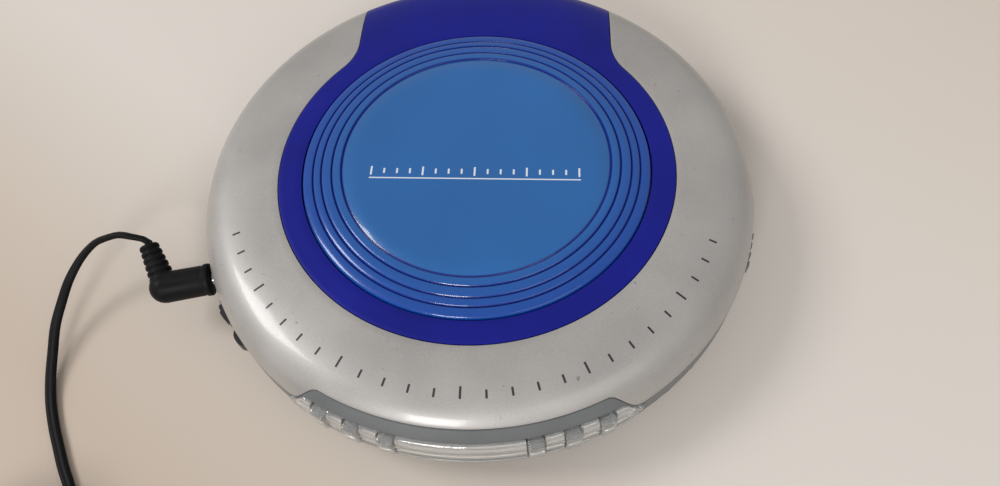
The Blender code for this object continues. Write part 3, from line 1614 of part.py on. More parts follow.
def make_feed():
    drive_turn = math.pi / 2.0
    gear = prism(
        "feed_gear",
        gear_outline(
            FEED_TEETH,
            FEED_RADIUS - TOOTH_DROP,
            FEED_RADIUS + TOOTH_RISE,
            TOOTH_ROOT_SHARE,
            TOOTH_TIP_SHARE,
            PINION_ANGLE,
            (FEED_X, FEED_Y),
        ),
        FEED_LOW,
        FEED_LOW + FEED_THICK,
        NYLON,
    )
    drive = prism(
        "drive_teeth",
        gear_outline(
            DRIVE_TEETH,
            DRIVE_RADIUS - TOOTH_DROP,
            DRIVE_RADIUS + TOOTH_RISE,
            TOOTH_ROOT_SHARE,
            TOOTH_TIP_SHARE,
            drive_turn,
            (FEED_X, FEED_Y),
        ),
        FEED_LOW + FEED_THICK - GAP,
        FEED_LOW + FEED_THICK + DRIVE_THICK,
    )
    join(gear, drive)
    cut(
        gear,
        rod(
            "feed_bore",
            (FEED_X, FEED_Y, CHASSIS_HEIGHT),
            (FEED_X, FEED_Y, FEED_LOW + FEED_THICK + DRIVE_THICK + OVERRUN),
            FEED_BORE,
        ),
    )
    carry(pivot("feed_axis", (FEED_X, FEED_Y, FEED_LOW)), gear)
    x, y = pinion_centre()
    motor = rod(
        "feed_motor",
        (x, y, FEED_MOTOR_LOW),
        (x, y, CHASSIS_HEIGHT - GAP),
        FEED_MOTOR_RADIUS,
        STEEL,
        sides=20,
    )
    space_turn = PINION_ANGLE + math.pi + math.pi / PINION_TEETH
    pinion = prism(
        "feed_pinion",
        gear_outline(
            PINION_TEETH,
            PINION_RADIUS - TOOTH_DROP,
            PINION_RADIUS + TOOTH_RISE,
            TOOTH_ROOT_SHARE,
            TOOTH_TIP_SHARE,
            space_turn,
            (x, y),
        ),
        FEED_LOW,
        FEED_LOW + PINION_THICK,
        NYLON,
    )
    join(
        pinion,
        rod(
            "pinion_shaft",
            (x, y, CHASSIS_HEIGHT - GAP / 2.0),
            (x, y, FEED_LOW + PINION_THICK / 2.0),
            SHAFT_RADIUS,
            sides=8,
        ),
    )
    carry(pivot("pinion_axis", (x, y, FEED_LOW)), pinion)
    return gear, motor, pinion


# Lower case, battery bay, screws and feet

BAY_FRONT = 23.0 * MM
BAY_BACK = BAY_FRONT + BAY_WIDTH
DOOR_ROOM = 0.35 * MM
DOOR_AXIS_Y = BAY_BACK - WALL / 2.0 - DOOR_ROOM
DOOR_AXIS_Z = CASE_FLOOR + WALL / 2.0
DOOR_PIN = 0.5 * MM
DOOR_PIN_REACH = 1.0 * MM
DOOR_RIB = 0.8 * MM
FOOT_RADIUS = 4.4 * MM
FOOT_SPOTS = tuple((sx * 36.0 * MM, sy * 41.0 * MM) for sx in (-1.0, 1.0) for sy in (-1.0, 1.0))
SCREW_HEAD = 2.5 * MM
SCREW_HEAD_TALL = 1.6 * MM
SCREW_SHANK = 1.15 * MM
SCREW_RECESS = 2.8 * MM
COUNTERBORE = 2.4 * MM


def bay_box(name, room, low, high):
    half = BAY_LENGTH / 2.0
    return block(
        name, (-half - room, BAY_FRONT - room, low), (half + room, BAY_BACK + room, high)
    )


def make_lower_case():
    bend_in = BOWL_BEND - WALL

    def bowl(across, up, count):
        return [
            (
                CASE_RADIUS - BOWL_BEND + across * math.cos(a),
                BOWL_TOP - up * math.sin(a),
            )
            for a in [math.pi / 2.0 * (1.0 - i / count) for i in range(count + 1)]
        ]

    outline = (
        [(0.0, CASE_FLOOR)]
        + bowl(BOWL_BEND, BOWL_HEIGHT, 3)
        + [(CASE_RADIUS, SPLIT_HEIGHT - GAP / 2.0), (CASE_RADIUS - WALL, SPLIT_HEIGHT - GAP / 2.0)]
        + bowl(bend_in, BOWL_HEIGHT - WALL, 2)[::-1]
        + [(0.0, FLOOR_TOP)]
    )
    case = turned("lower_case", outline, GREY)
    root = CASE_FLOOR + WALL / 2.0
    join(case, bay_box("bay_walls", BAY_WALL, root, BAY_TOP - GAP))
    for i, (x, y) in enumerate(SCREW_SPOTS):
        top = SPLIT_HEIGHT - GAP / 2.0
        join(case, rod(f"case_boss_{i}", (x, y, root), (x, y, top), BOSS_RADIUS, sides=POST_SIDES))
    for i, (x, y) in enumerate(DAMPER_SPOTS):
        step = CHASSIS_HEIGHT - GAP / 2.0 - DAMPER_FLANGE - GAP
        top = CHASSIS_TOP + DAMPER_FLANGE
        join(
            case,
            rod(f"damper_step_{i}", (x, y, root), (x, y, step), DAMPER_NECK, sides=POST_SIDES),
            rod(f"damper_post_{i}", (x, y, root), (x, y, top), DAMPER_POST, sides=POST_SIDES),
        )
    for i, angle in enumerate(BOARD_POSTS):
        spot = frame_at(angle, (BOARD_INNER + BOARD_OUTER) / 2.0, 0.0).translation
        join(
            case,
            rod(
                f"board_post_{i}",
                (spot.x, spot.y, root),
                (spot.x, spot.y, BOARD_HEIGHT - GAP),
                POST_RADIUS,
                sides=8,
            ),
        )
    cut(case, bay_box("bay_room", 0.0, CASE_FLOOR - OVERRUN, BAY_TOP + OVERRUN))
    for i, (x, y) in enumerate(SCREW_SPOTS):
        cut(
            case,
            rod(
                f"case_screw_bore_{i}",
                (x, y, CASE_FLOOR - OVERRUN),
                (x, y, SPLIT_HEIGHT + OVERRUN),
                SCREW_BORE,
                sides=8,
            ),
            rod(
                f"counterbore_{i}",
                (x, y, CASE_FLOOR - OVERRUN),
                (x, y, CASE_FLOOR + COUNTERBORE),
                SCREW_RECESS,
                sides=ROD_SIDES,
            ),
        )
    reach = BAY_LENGTH / 2.0 + DOOR_PIN_REACH
    cut(
        case,
        rod(
            "door_pin_sockets",
            (-reach, DOOR_AXIS_Y, DOOR_AXIS_Z),
            (reach, DOOR_AXIS_Y, DOOR_AXIS_Z),
            DOOR_PIN + PIN_CLEARANCE,
            sides=8,
        ),
    )
    return case


def make_battery_parts():
    half = BAY_LENGTH / 2.0 - DOOR_ROOM
    bend = WALL / 2.0
    front = BAY_FRONT + DOOR_ROOM
    rear = arc((DOOR_AXIS_Y, DOOR_AXIS_Z), bend, -math.pi / 2.0, math.pi / 2.0, 6)
    outline = [(front, CASE_FLOOR)] + rear + [(front, CASE_FLOOR + WALL)]
    door = along_x("battery_door", outline, -half, half)
    door.data.materials.append(GREY)
    reach = BAY_LENGTH / 2.0 + DOOR_PIN_REACH - GAP
    join(
        door,
        rod(
            "door_pins",
            (-reach, DOOR_AXIS_Y, DOOR_AXIS_Z),
            (reach, DOOR_AXIS_Y, DOOR_AXIS_Z),
            DOOR_PIN,
            sides=8,
        ),
    )
    carry(pivot("battery_door_axis", (0.0, DOOR_AXIS_Y, DOOR_AXIS_Z)), door)
    plates = []
    for side, name in ((-1.0, "left"), (1.0, "right")):
        wall = side * (BAY_LENGTH / 2.0 - GAP / 2.0)
        thick = -side * CONTACT_THICK
        leaf = -side * CONTACT_LEAF
        middle = (BAY_FRONT + BAY_BACK) / 2.0
        near = middle - side * (BAY_WIDTH / 2.0 - CELL_SLACK)
        away = middle + side * (BAY_WIDTH / 2.0 - CELL_SLACK)
        quarter = (near + middle) / 2.0
        outline = [
            (wall, near),
            (wall, away),
            (wall + thick, away),
            (wall + thick, middle),
            (wall + leaf, quarter),
            (wall + leaf - thick, quarter),
            (wall + thick, (middle + quarter) / 2.0 - (middle - quarter) / 4.0),
            (wall + thick, near),
        ]
        low = FLOOR_TOP + GAP + CELL_DIAMETER / 4.0
        plates.append(
            prism(f"battery_contact_{name}", outline, low, low + CELL_DIAMETER / 2.0, STEEL)
        )
    return door, plates


CONTACT_THICK = 0.4 * MM
CONTACT_LEAF = 1.3 * MM


def make_screws_and_feet():
    for i, (x, y) in enumerate(SCREW_SPOTS):
        head_top = CASE_FLOOR + COUNTERBORE - GAP
        head_low = head_top - SCREW_HEAD_TALL
        screw = turned(
            f"case_screw_{i + 1}",
            [
                (0.0, head_low),
                (SCREW_HEAD * 0.7, head_low),
                (SCREW_HEAD, head_low + SCREW_HEAD_TALL / 2.0),
                (SCREW_HEAD, head_top),
                (SCREW_SHANK, head_top),
                (SCREW_SHANK, BAY_TOP - 2.0 * WALL),
                (0.0, BAY_TOP - WALL - GAP),
            ],
            STEEL,
            10,
            (x, y),
        )
        arm = SCREW_HEAD * 0.6
        slot = SCREW_SHANK / 4.0
        for axis, far in (("x", (arm, slot)), ("y", (slot, arm))):
            cut(
                screw,
                block(
                    f"screw_cross_{axis}_{i}",
                    (x - far[0], y - far[1], head_low - OVERRUN),
                    (x + far[0], y + far[1], head_low + SCREW_HEAD_TALL / 2.0),
                ),
            )
    for i, spot in enumerate(FOOT_SPOTS):
        turned(
            f"foot_{i + 1}",
            [
                (0.0, 0.0),
                (FOOT_RADIUS - FOOT_HEIGHT / 2.0, 0.0),
                (FOOT_RADIUS, FOOT_HEIGHT / 2.0),
                (FOOT_RADIUS, FOOT_HEIGHT),
                (0.0, FOOT_HEIGHT),
            ],
            RUBBER,
            SMALL_SIDES,
            spot,
        )


# Lead: plug, free stretch, coil, tail, tie and far plug

CORD_RADIUS = 1.1 * MM
PLUG_RADIUS = 3.85 * MM
COLLAR_RADIUS = 4.1 * MM
COLLAR_LENGTH = 1.6 * MM
PLUG_SEAT = 1.1 * MM
ELBOW_REACH = 12.6 * MM
ELBOW_RADIUS = 3.95 * MM
RELIEF_LENGTH = 11.8 * MM
RELIEF_START = 3.0 * MM
RELIEF_END = 2.3 * MM
RELIEF_RINGS = 5
RING_GROOVE = 0.5 * MM
RELIEF_BODY = 3.2 * MM
TIP_LENGTH = 3.2 * MM
TIP_NECK = 1.1 * MM
RELIEF_HEADING = math.radians(119.7)
RELIEF_TILT = math.radians(18.0)


def relief_outline():
    """The cable end of a plug, in rings that step down towards the cord."""
    outline = [(0.0, 0.0), (RELIEF_START, 0.0), (RELIEF_START, RELIEF_BODY)]
    run = (RELIEF_LENGTH - RELIEF_BODY) / RELIEF_RINGS
    for i in range(RELIEF_RINGS):
        share = i / RELIEF_RINGS
        radius = RELIEF_START + (RELIEF_END - RELIEF_START) * share
        low = RELIEF_BODY + run * i
        outline += [
            (radius - RING_GROOVE, low),
            (radius - RING_GROOVE, low + run / 3.0),
            (radius, low + run / 2.0),
        ]
    return outline + [(0.0, RELIEF_LENGTH)]


def make_plug(name, pin_name, jack, heading, tilt):
    """A right-angle plug. In its frame X points away from the jack."""
    body = rod(
        name,
        jack @ Vector((PLUG_SEAT + COLLAR_LENGTH / 2.0, 0.0, 0.0)),
        jack @ Vector((ELBOW_REACH, 0.0, 0.0)),
        PLUG_RADIUS,
        CORD,
        SMALL_SIDES,
    )
    join(
        body,
        rod(
            name + "_collar",
            jack @ Vector((PLUG_SEAT, 0.0, 0.0)),
            jack @ Vector((PLUG_SEAT + COLLAR_LENGTH, 0.0, 0.0)),
            COLLAR_RADIUS,
            sides=SMALL_SIDES,
        ),
    )
    elbow = jack @ Vector((ELBOW_REACH, 0.0, 0.0))
    ball = bmesh.new()
    bmesh.ops.create_uvsphere(ball, u_segments=SMALL_SIDES, v_segments=8, radius=ELBOW_RADIUS)
    ball.transform(Matrix.Translation(elbow) @ Matrix.Rotation(heading, 4, "Z"))
    join(body, place(name + "_elbow", ball, None))
    away = Vector(
        (
            math.cos(heading) * math.cos(tilt),
            math.sin(heading) * math.cos(tilt),
            math.sin(tilt),
        )
    )
    relief = turned(name + "_relief", relief_outline(), None, ROD_SIDES)
    aim = away.to_track_quat("Z", "Y").to_matrix().to_4x4()
    relief.data.transform(Matrix.Translation(elbow) @ aim)
    join(body, relief)
    tip = PIN_LENGTH - TIP_LENGTH
    pin = turned(
        pin_name,
        [
            (0.0, 0.0),
            (PIN_SHAFT, 0.0),
            (PIN_SHAFT, tip),
            (TIP_NECK, tip + TIP_LENGTH * 0.25),
            (PIN_SHAFT * 0.95, tip + TIP_LENGTH * 0.55),
            (0.0, PIN_LENGTH),
        ],
        STEEL,
        ROD_SIDES,
    )
    seat = jack @ Matrix.Translation((PLUG_SEAT - GAP, 0.0, 0.0))
    pin.data.transform(seat @ Matrix.Rotation(-math.pi / 2.0, 4, "Y"))
    return elbow + away * RELIEF_LENGTH, away


# The free stretch, chosen by hand along the route that the cord lies on
CORD_ROUTE = (
    (-87.5 * MM, -18.4 * MM, 19.0 * MM),
    (-90.3 * MM, -18.0 * MM, 18.8 * MM),
    (-93.8 * MM, -18.4 * MM, 17.8 * MM),
    (-97.2 * MM, -18.9 * MM, 16.2 * MM),
    (-100.3 * MM, -20.8 * MM, 14.2 * MM),
    (-102.9 * MM, -23.4 * MM, 12.0 * MM),
    (-105.0 * MM, -27.0 * MM, 9.8 * MM),
    (-106.3 * MM, -31.2 * MM, 7.8 * MM),
    (-107.3 * MM, -37.2 * MM, 5.6 * MM),
    (-106.9 * MM, -43.4 * MM, 3.8 * MM),
    (-106.1 * MM, -49.5 * MM, 2.4 * MM),
    (-104.4 * MM, -55.7 * MM, 1.6 * MM),
    (-101.6 * MM, -61.9 * MM, 1.4 * MM),
    (-98.9 * MM, -66.7 * MM, 1.4 * MM),
    (-96.0 * MM, -71.7 * MM, 1.4 * MM),
    (-93.0 * MM, -76.2 * MM, 1.4 * MM),
    (-88.6 * MM, -83.2 * MM, 1.4 * MM),
)
COIL_CENTRE = (-98.0 * MM, -106.0 * MM)
COIL_INNER = 11.5 * MM
LOOP_PITCH = 2.8 * MM
LOOPS_PER_LAYER = 2.5
LAYERS = 4
LOOP_POINTS = 24
TIE_THICK = 0.6 * MM
TABLE_GAP = 0.1 * MM
COIL_BASE = TABLE_GAP + TIE_THICK + GAP + CORD_RADIUS
COIL_START = math.radians(12.0)
CORD_STEP = 5.0 * MM
TAIL_TURN = math.radians(30.0)


def smooth_line(points, step):
    """Points at an even step along a smooth curve through hand-chosen ones."""
    spots = [Vector(p) for p in points]
    spots = [2.0 * spots[0] - spots[1]] + spots + [2.0 * spots[-1] - spots[-2]]
    fine = []
    for a, b, c, d in zip(spots, spots[1:], spots[2:], spots[3:]):
        for i in range(12):
            t = i / 12.0
            fine.append(
                0.5
                * (
                    2.0 * b
                    + (c - a) * t
                    + (2.0 * a - 5.0 * b + 4.0 * c - d) * t**2
                    + (3.0 * b - a - 3.0 * c + d) * t**3
                )
            )
    fine.append(spots[-2])
    total = sum((b - a).length for a, b in zip(fine, fine[1:]))
    count = max(2, round(total / step))
    found = [fine[0]]
    walked, wanted = 0.0, total / count
    for a, b in zip(fine, fine[1:]):
        span = (b - a).length
        while walked + span >= wanted * len(found) and len(found) < count:
            found.append(a.lerp(b, (wanted * len(found) - walked) / span))
        walked += span
    found.append(fine[-1])
    return [tuple(p) for p in found]


def coil_point(turns):
    """A point of the coil after so many turns: in and out again, layer upon layer."""
    layer = min(LAYERS - 1, int(turns / LOOPS_PER_LAYER))
    into = turns - layer * LOOPS_PER_LAYER
    spread = into if layer % 2 else LOOPS_PER_LAYER - into
    radius = COIL_INNER + LOOP_PITCH * spread
    climb = 0.0
    if layer and into < 0.25:
        climb = (into - 0.25) / 0.5
    if layer < LAYERS - 1 and into > LOOPS_PER_LAYER - 0.25:
        climb = (into - LOOPS_PER_LAYER + 0.25) / 0.5
    angle = COIL_START - FULL_TURN * turns
    return (
        COIL_CENTRE[0] + radius * math.cos(angle),
        COIL_CENTRE[1] + radius * math.sin(angle),
        COIL_BASE + LOOP_PITCH * (layer + climb),
    )


def length_of(points):
    return sum((Vector(b) - Vector(a)).length for a, b in zip(points, points[1:]))


def straight_on(here, there, reach):
    """A point past the last one, in line with the two given."""
    away = (Vector(there) - Vector(here)).normalized()
    return Vector(there) + away * reach


def make_lead():
    jack = frame_at(JACK_ANGLE, CASE_RADIUS, JACK_HEIGHT, JACK_HEADING)
    leave, away = make_plug("plug", "plug_pin", jack, RELIEF_HEADING, RELIEF_TILT)
    count = round(LAYERS * LOOPS_PER_LAYER * LOOP_POINTS)
    loops = [coil_point(i / LOOP_POINTS) for i in range(count + 1)]
    entry = straight_on(loops[1], loops[0], 2.0 * CORD_RADIUS)
    exit_point = straight_on(loops[-2], loops[-1], 2.0 * CORD_RADIUS)
    coil = [tuple(entry)] + loops + [tuple(exit_point)]
    print("lead coil, least gap in mm:", round(least_gap(coil, CORD_RADIUS, 8) / MM, 2))
    tube("lead_coil", coil, CORD_RADIUS, CORD, 1)
    first = leave + away * GAP
    last = straight_on(loops[0], entry, GAP)
    before = straight_on(loops[0], entry, GAP + 4.0 * CORD_RADIUS)
    route = [tuple(first), tuple(first + away * 2.0 * CORD_RADIUS)] + list(CORD_ROUTE)
    free = smooth_line(route + [tuple(before), tuple(last)], CORD_STEP)
    tube("lead_free", free, CORD_RADIUS, CORD, 2)
    tail_start = straight_on(loops[-1], exit_point, GAP)
    tail_next = straight_on(loops[-1], exit_point, GAP + 4.0 * CORD_RADIUS)
    far = Matrix.Translation(FAR_PLUG_SPOT) @ Matrix.Rotation(FAR_PLUG_TURN, 4, "Z")
    far_leave, far_away = make_plug("far_plug", "far_pin", far, FAR_PLUG_TURN + math.pi / 2.0, 0.0)
    meet = far_leave + far_away * GAP
    before_plug = meet + far_away * 3.0 * CORD_RADIUS
    tail_route = [tuple(tail_start), tuple(tail_next)] + list(TAIL_ROUTE)
    tail = smooth_line(tail_route + [tuple(before_plug), tuple(meet)], CORD_STEP)
    tube("lead_tail", tail, CORD_RADIUS, CORD, 2)
    total = length_of(free) + length_of(coil) + length_of(tail)
    print("lead length in mm:", round(total / MM, 1), "free:", round(length_of(free) / MM, 1))
    print("coil ends:", [round(v / MM, 1) for v in coil[0]], [round(v / MM, 1) for v in coil[-1]])
    return coil


FAR_PLUG_SPOT = (-124.0 * MM, -118.6 * MM, 4.3 * MM)
FAR_PLUG_TURN = math.radians(-90.0)
TAIL_ROUTE = (
    (-78.4 * MM, -112.6 * MM, 8.2 * MM),
    (-80.2 * MM, -119.8 * MM, 4.4 * MM),
    (-85.0 * MM, -126.6 * MM, 1.8 * MM),
    (-92.6 * MM, -130.6 * MM, 1.4 * MM),
    (-101.0 * MM, -131.6 * MM, 2.4 * MM),
)
TIE_WIDTH = 5.0 * MM
TIE_ANGLE = math.radians(-100.0)
TIE_ROOM = 0.45 * MM


def make_tie():
    """A flat band round the coil's turns at one place."""
    inner = COIL_INNER - CORD_RADIUS - TIE_ROOM - TIE_WIDTH**2 / 8.0 / COIL_INNER
    outer = COIL_INNER + LOOP_PITCH * LOOPS_PER_LAYER + CORD_RADIUS + TIE_ROOM
    low = COIL_BASE - CORD_RADIUS - GAP
    high = COIL_BASE + LOOP_PITCH * (LAYERS - 1) + CORD_RADIUS + GAP
    half = TIE_WIDTH / 2.0
    frame = Matrix.Translation((*COIL_CENTRE, 0.0)) @ Matrix.Rotation(TIE_ANGLE, 4, "Z")
    tie = block(
        "lead_tie",
        (inner - TIE_THICK, -half, low - TIE_THICK),
        (outer + TIE_THICK, half, high + TIE_THICK),
        BLACK,
        frame,
        TIE_THICK * 0.6,
    )
    cut(
        tie,
        block("tie_room", (inner, -half - OVERRUN, low), (outer, half + OVERRUN, high), frame=frame),
    )
    return tie


def main():
    cover, insert = make_lid_cover(), make_lid_insert()
    window, liner = make_lid_window(), make_lid_liner()
    make_hinge_parts()
    carry(pivot("lid_hinge_axis", (0.0, HINGE_Y, HINGE_HEIGHT)), cover, insert, window, liner)
    make_deck()
    make_button_trim()
    make_buttons()
    make_main_board()
    make_key_board("key_board_left", BUTTON_ANGLES[:3])
    make_key_board("key_board_right", BUTTON_ANGLES[3:])
    make_volume_parts()
    make_bass_switch()
    make_jacks()
    make_release_parts()
    make_chassis()
    make_dampers()
    make_spindle()
    make_rods()
    make_sled()
    make_feed()
    make_lower_case()
    make_battery_parts()
    make_screws_and_feet()
    make_lead()
    make_tie()
    for made in bpy.data.objects:
        if made.parent is None:
            made.location.y -= OUTLINE_MIDDLE


main()
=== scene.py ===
"""Looks of a round portable disc player with its clear-blue lid window, front keys and a lead.

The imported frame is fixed. Every piece made here rides on one of its bodies.
"""

import math

import bpy
from mathutils import Matrix, Vector, noise


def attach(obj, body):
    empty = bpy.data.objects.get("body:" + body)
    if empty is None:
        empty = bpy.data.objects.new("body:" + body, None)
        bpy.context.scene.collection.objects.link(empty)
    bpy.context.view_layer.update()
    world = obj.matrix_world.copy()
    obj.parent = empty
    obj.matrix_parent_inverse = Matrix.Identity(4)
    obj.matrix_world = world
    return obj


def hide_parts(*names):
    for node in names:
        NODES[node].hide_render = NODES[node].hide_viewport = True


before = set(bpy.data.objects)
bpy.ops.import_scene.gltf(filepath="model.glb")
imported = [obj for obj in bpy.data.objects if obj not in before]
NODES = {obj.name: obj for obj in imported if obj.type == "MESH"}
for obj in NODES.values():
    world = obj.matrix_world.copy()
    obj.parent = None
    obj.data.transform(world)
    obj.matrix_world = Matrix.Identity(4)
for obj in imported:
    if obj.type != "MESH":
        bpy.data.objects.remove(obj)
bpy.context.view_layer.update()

bl_info = {
    "name": "Disc player looks",
    "version": (1, 0, 0),
    "blender": (4, 5, 0),
    "location": "3D View > Sidebar > Player",
    "description": "Builds the shown pieces and finishes of a portable disc player",
    "category": "Object",
}

MM = 0.001
TURN = 2.0 * math.pi
FRONT = math.radians(-90.0)
FINE = 240
SMALL = 48

# Case and lid, as the frame has them
CASE_RADIUS = 70.0 * MM
WALL = 1.6 * MM
GAP = 0.3 * MM
SPLIT = 10.3 * MM
BAY_TOP = 17.9 * MM
WELL_FLOOR = 19.4 * MM
WELL_RADIUS = 61.5 * MM
DECK_TOP = 22.0 * MM
RIM_TOP = 26.5 * MM
CROWN_TOP = 27.0 * MM
RIM_BEND = 10.0 * MM
RIM_CENTRE = CASE_RADIUS - RIM_BEND
RIM_BASE = RIM_TOP - RIM_BEND
LID_SKIN = 1.5 * MM
LID_EDGE = 16.8 * MM
LID_FIT = 0.4 * MM
FRONT_LIFT = 6.8 * MM
FRONT_HALF = math.radians(34.5)
SHOULDER = math.radians(6.5)
INSERT_RADIUS = 49.3 * MM
TONGUE_HALF = 34.6 * MM
TONGUE_FILLET = 14.6 * MM
WINDOW_RADIUS = 43.3 * MM
WINDOW_CENTRE = CROWN_TOP + 1.5 * MM
RIDGE_SHARES = (0.771, 0.827, 0.889, 0.938, 1.0)
RIDGE_FALL_SHARES = (0.0, 0.14, 0.38, 0.65, 1.0)
LINER_TOP = 24.4 * MM
HINGE_Y = 72.0 * MM
HINGE_Z = 14.0 * MM
KNUCKLE = 2.4 * MM
PIN_RADIUS = 0.9 * MM
PIN_BORE = PIN_RADIUS + 0.2 * MM
LUG_SPAN = (3.1 * MM, 12.0 * MM)
WEB_SPAN = (12.3 * MM, 18.5 * MM)
# Takes an outline in Y and Z, drawn up by height, to lie along X
ACROSS = Matrix(((0, 0, 1, 0), (1, 0, 0, 0), (0, 1, 0, 0), (0, 0, 0, 1)))
# How far a cutter reaches past what it cuts
REACH = 5.0 * MM
# Pieces are made round the middle of the case, and the frame's origin lies this far behind it
OUTLINE_MIDDLE = 1.9 * MM
TO_FRAME = Matrix.Translation((0.0, -OUTLINE_MIDDLE, 0.0))

# Front strip and keys
TRIM_LOW = 11.0 * MM
TRIM_HIGH = 20.2 * MM
TRIM_PROUD = 0.6 * MM
TRIM_INNER = 68.6 * MM
TRIM_TAPER = math.radians(4.0)
TRIM_TIP = 0.6 * MM
KEY_ANGLES = tuple(math.radians(a) for a in (-116.9, -110.2, -103.4, -76.6, -69.8, -63.1))
KEY_WIDTH = 3.7 * MM
KEY_LOW = 12.3 * MM
KEY_HIGH = 19.5 * MM
KEY_FACE = 71.3 * MM
KEY_STEM = 65.2 * MM

# Openings in the deck
FRONT_STEP = 14.9 * MM
HUB_HOLE = 14.6 * MM
SLED_SLOT_END = 60.4 * MM
SLED_SLOT_HALF = 12.4 * MM
SLED_SLOT_CORNER = 4.0 * MM
SCALLOP_SPOT = (17.05 * MM, -52.25 * MM)
SCALLOP_RADIUS = 10.0 * MM
SCALLOP_DEPTH = 1.2 * MM
JACK_MOUTH = 2.4 * MM
INLET_MOUTH = 3.2 * MM
INLET_ANGLE = math.radians(172.0)
INLET_HEIGHT = 12.8 * MM
WHEEL_ANGLE = math.radians(-148.4)
WHEEL_OUT = 65.4 * MM
WHEEL_SLOT = 6.3 * MM
WHEEL_LEVELS = (11.9 * MM, 15.3 * MM)
RELEASE_ANGLE = math.radians(-14.0)
RIB_ANGLE = math.radians(-38.0)
# For the slide knob and the lid release: angle, height, half length, half height and travel
SIDE_SLOTS = (
    (math.radians(-141.4), 13.5 * MM, 2.8 * MM, 1.8 * MM, 2.0 * MM),
    (RELEASE_ANGLE, 13.4 * MM, 5.8 * MM, 2.0 * MM, 3.0 * MM),
)

# Plug and lead. The pin's outline and black rings are in millimetres: radius and height
PIN_OUTLINE = (
    (0.0, 0.0), (1.75, 0.0), (1.75, 3.9), (1.66, 4.0), (1.66, 4.6), (1.75, 4.7), (1.75, 7.4), (1.66, 7.5),
    (1.66, 8.1), (1.75, 8.2), (1.75, 10.7), (1.15, 11.6), (1.66, 12.5), (1.2, 13.4), (0.5, 13.9), (0.0, 14.0),
)
PIN_RINGS = ((3.9, 4.7), (7.4, 8.2))
JACK_ANGLE = math.radians(-157.3)
JACK_HEADING = math.radians(-167.0)
JACK_HEIGHT = 13.5 * MM
PLUG_SEAT = 1.1 * MM
ELBOW_REACH = 12.6 * MM
RELIEF_HEADING = math.radians(119.7)
RELIEF_TILT = math.radians(18.0)
RELIEF_LENGTH = 11.8 * MM
FAR_PLUG_SPOT = (-124.0 * MM, -118.6 * MM, 4.3 * MM)
FAR_PLUG_TURN = math.radians(-90.0)
LEAD_WIDTH = 2.6 * MM
LEAD_THICK = 1.6 * MM
LEAD_LIFT = 0.4 * MM
LEAD_ROUTE = (
    (-87.5, -18.4, 19.0),
    (-90.3, -18.0, 18.8),
    (-93.8, -18.4, 17.8),
    (-97.2, -18.9, 16.2),
    (-100.3, -20.8, 14.2),
    (-102.9, -23.4, 12.0),
    (-105.0, -27.0, 9.8),
    (-106.3, -31.2, 7.8),
    (-107.3, -37.2, 5.6),
    (-106.9, -43.4, 3.8),
    (-106.1, -49.5, 2.4),
    (-104.4, -55.7, 1.6),
    (-101.6, -61.9, 1.4),
    (-98.9, -66.7, 1.4),
    (-96.0, -71.7, 1.4),
    (-93.0, -76.2, 1.4),
    (-88.6, -83.2, 1.4),
    (-83.6, -91.6, 1.5),
)
TAIL_ROUTE = (
    (-78.4, -112.6, 8.2),
    (-80.2, -119.8, 4.4),
    (-85.0, -126.6, 1.8),
    (-92.6, -130.6, 1.4),
    (-101.0, -131.6, 2.4),
)
COIL_CENTRE = (-98.0 * MM, -106.0 * MM)
COIL_INNER = 11.5 * MM
COIL_PITCH = 2.8 * MM
COIL_LOOPS = 2.5
COIL_LAYERS = 4
COIL_BASE = 2.1 * MM
COIL_START = math.radians(12.0)
COIL_POINTS = 24


class Socket:
    """An output of a shader node, on which Python's operators add Math nodes."""

    def __init__(self, finish, socket):
        self.finish = finish
        self.socket = socket

    def math(self, operation, *others):
        return self.finish.add("Math", {"operation": operation}, dict(enumerate((self, *others))))

    def __add__(self, other):
        return self.math("ADD", other)

    def __sub__(self, other):
        return self.math("SUBTRACT", other)

    def __mul__(self, other):
        return self.math("MULTIPLY", other)

    def __truediv__(self, other):
        return self.math("DIVIDE", other)

    def __rsub__(self, other):
        return self.finish.add("Math", {"operation": "SUBTRACT"}, {0: other, 1: self})

    __radd__ = __add__
    __rmul__ = __mul__

    def __gt__(self, other):
        return self.math("GREATER_THAN", other)

    def __lt__(self, other):
        return self.math("LESS_THAN", other)


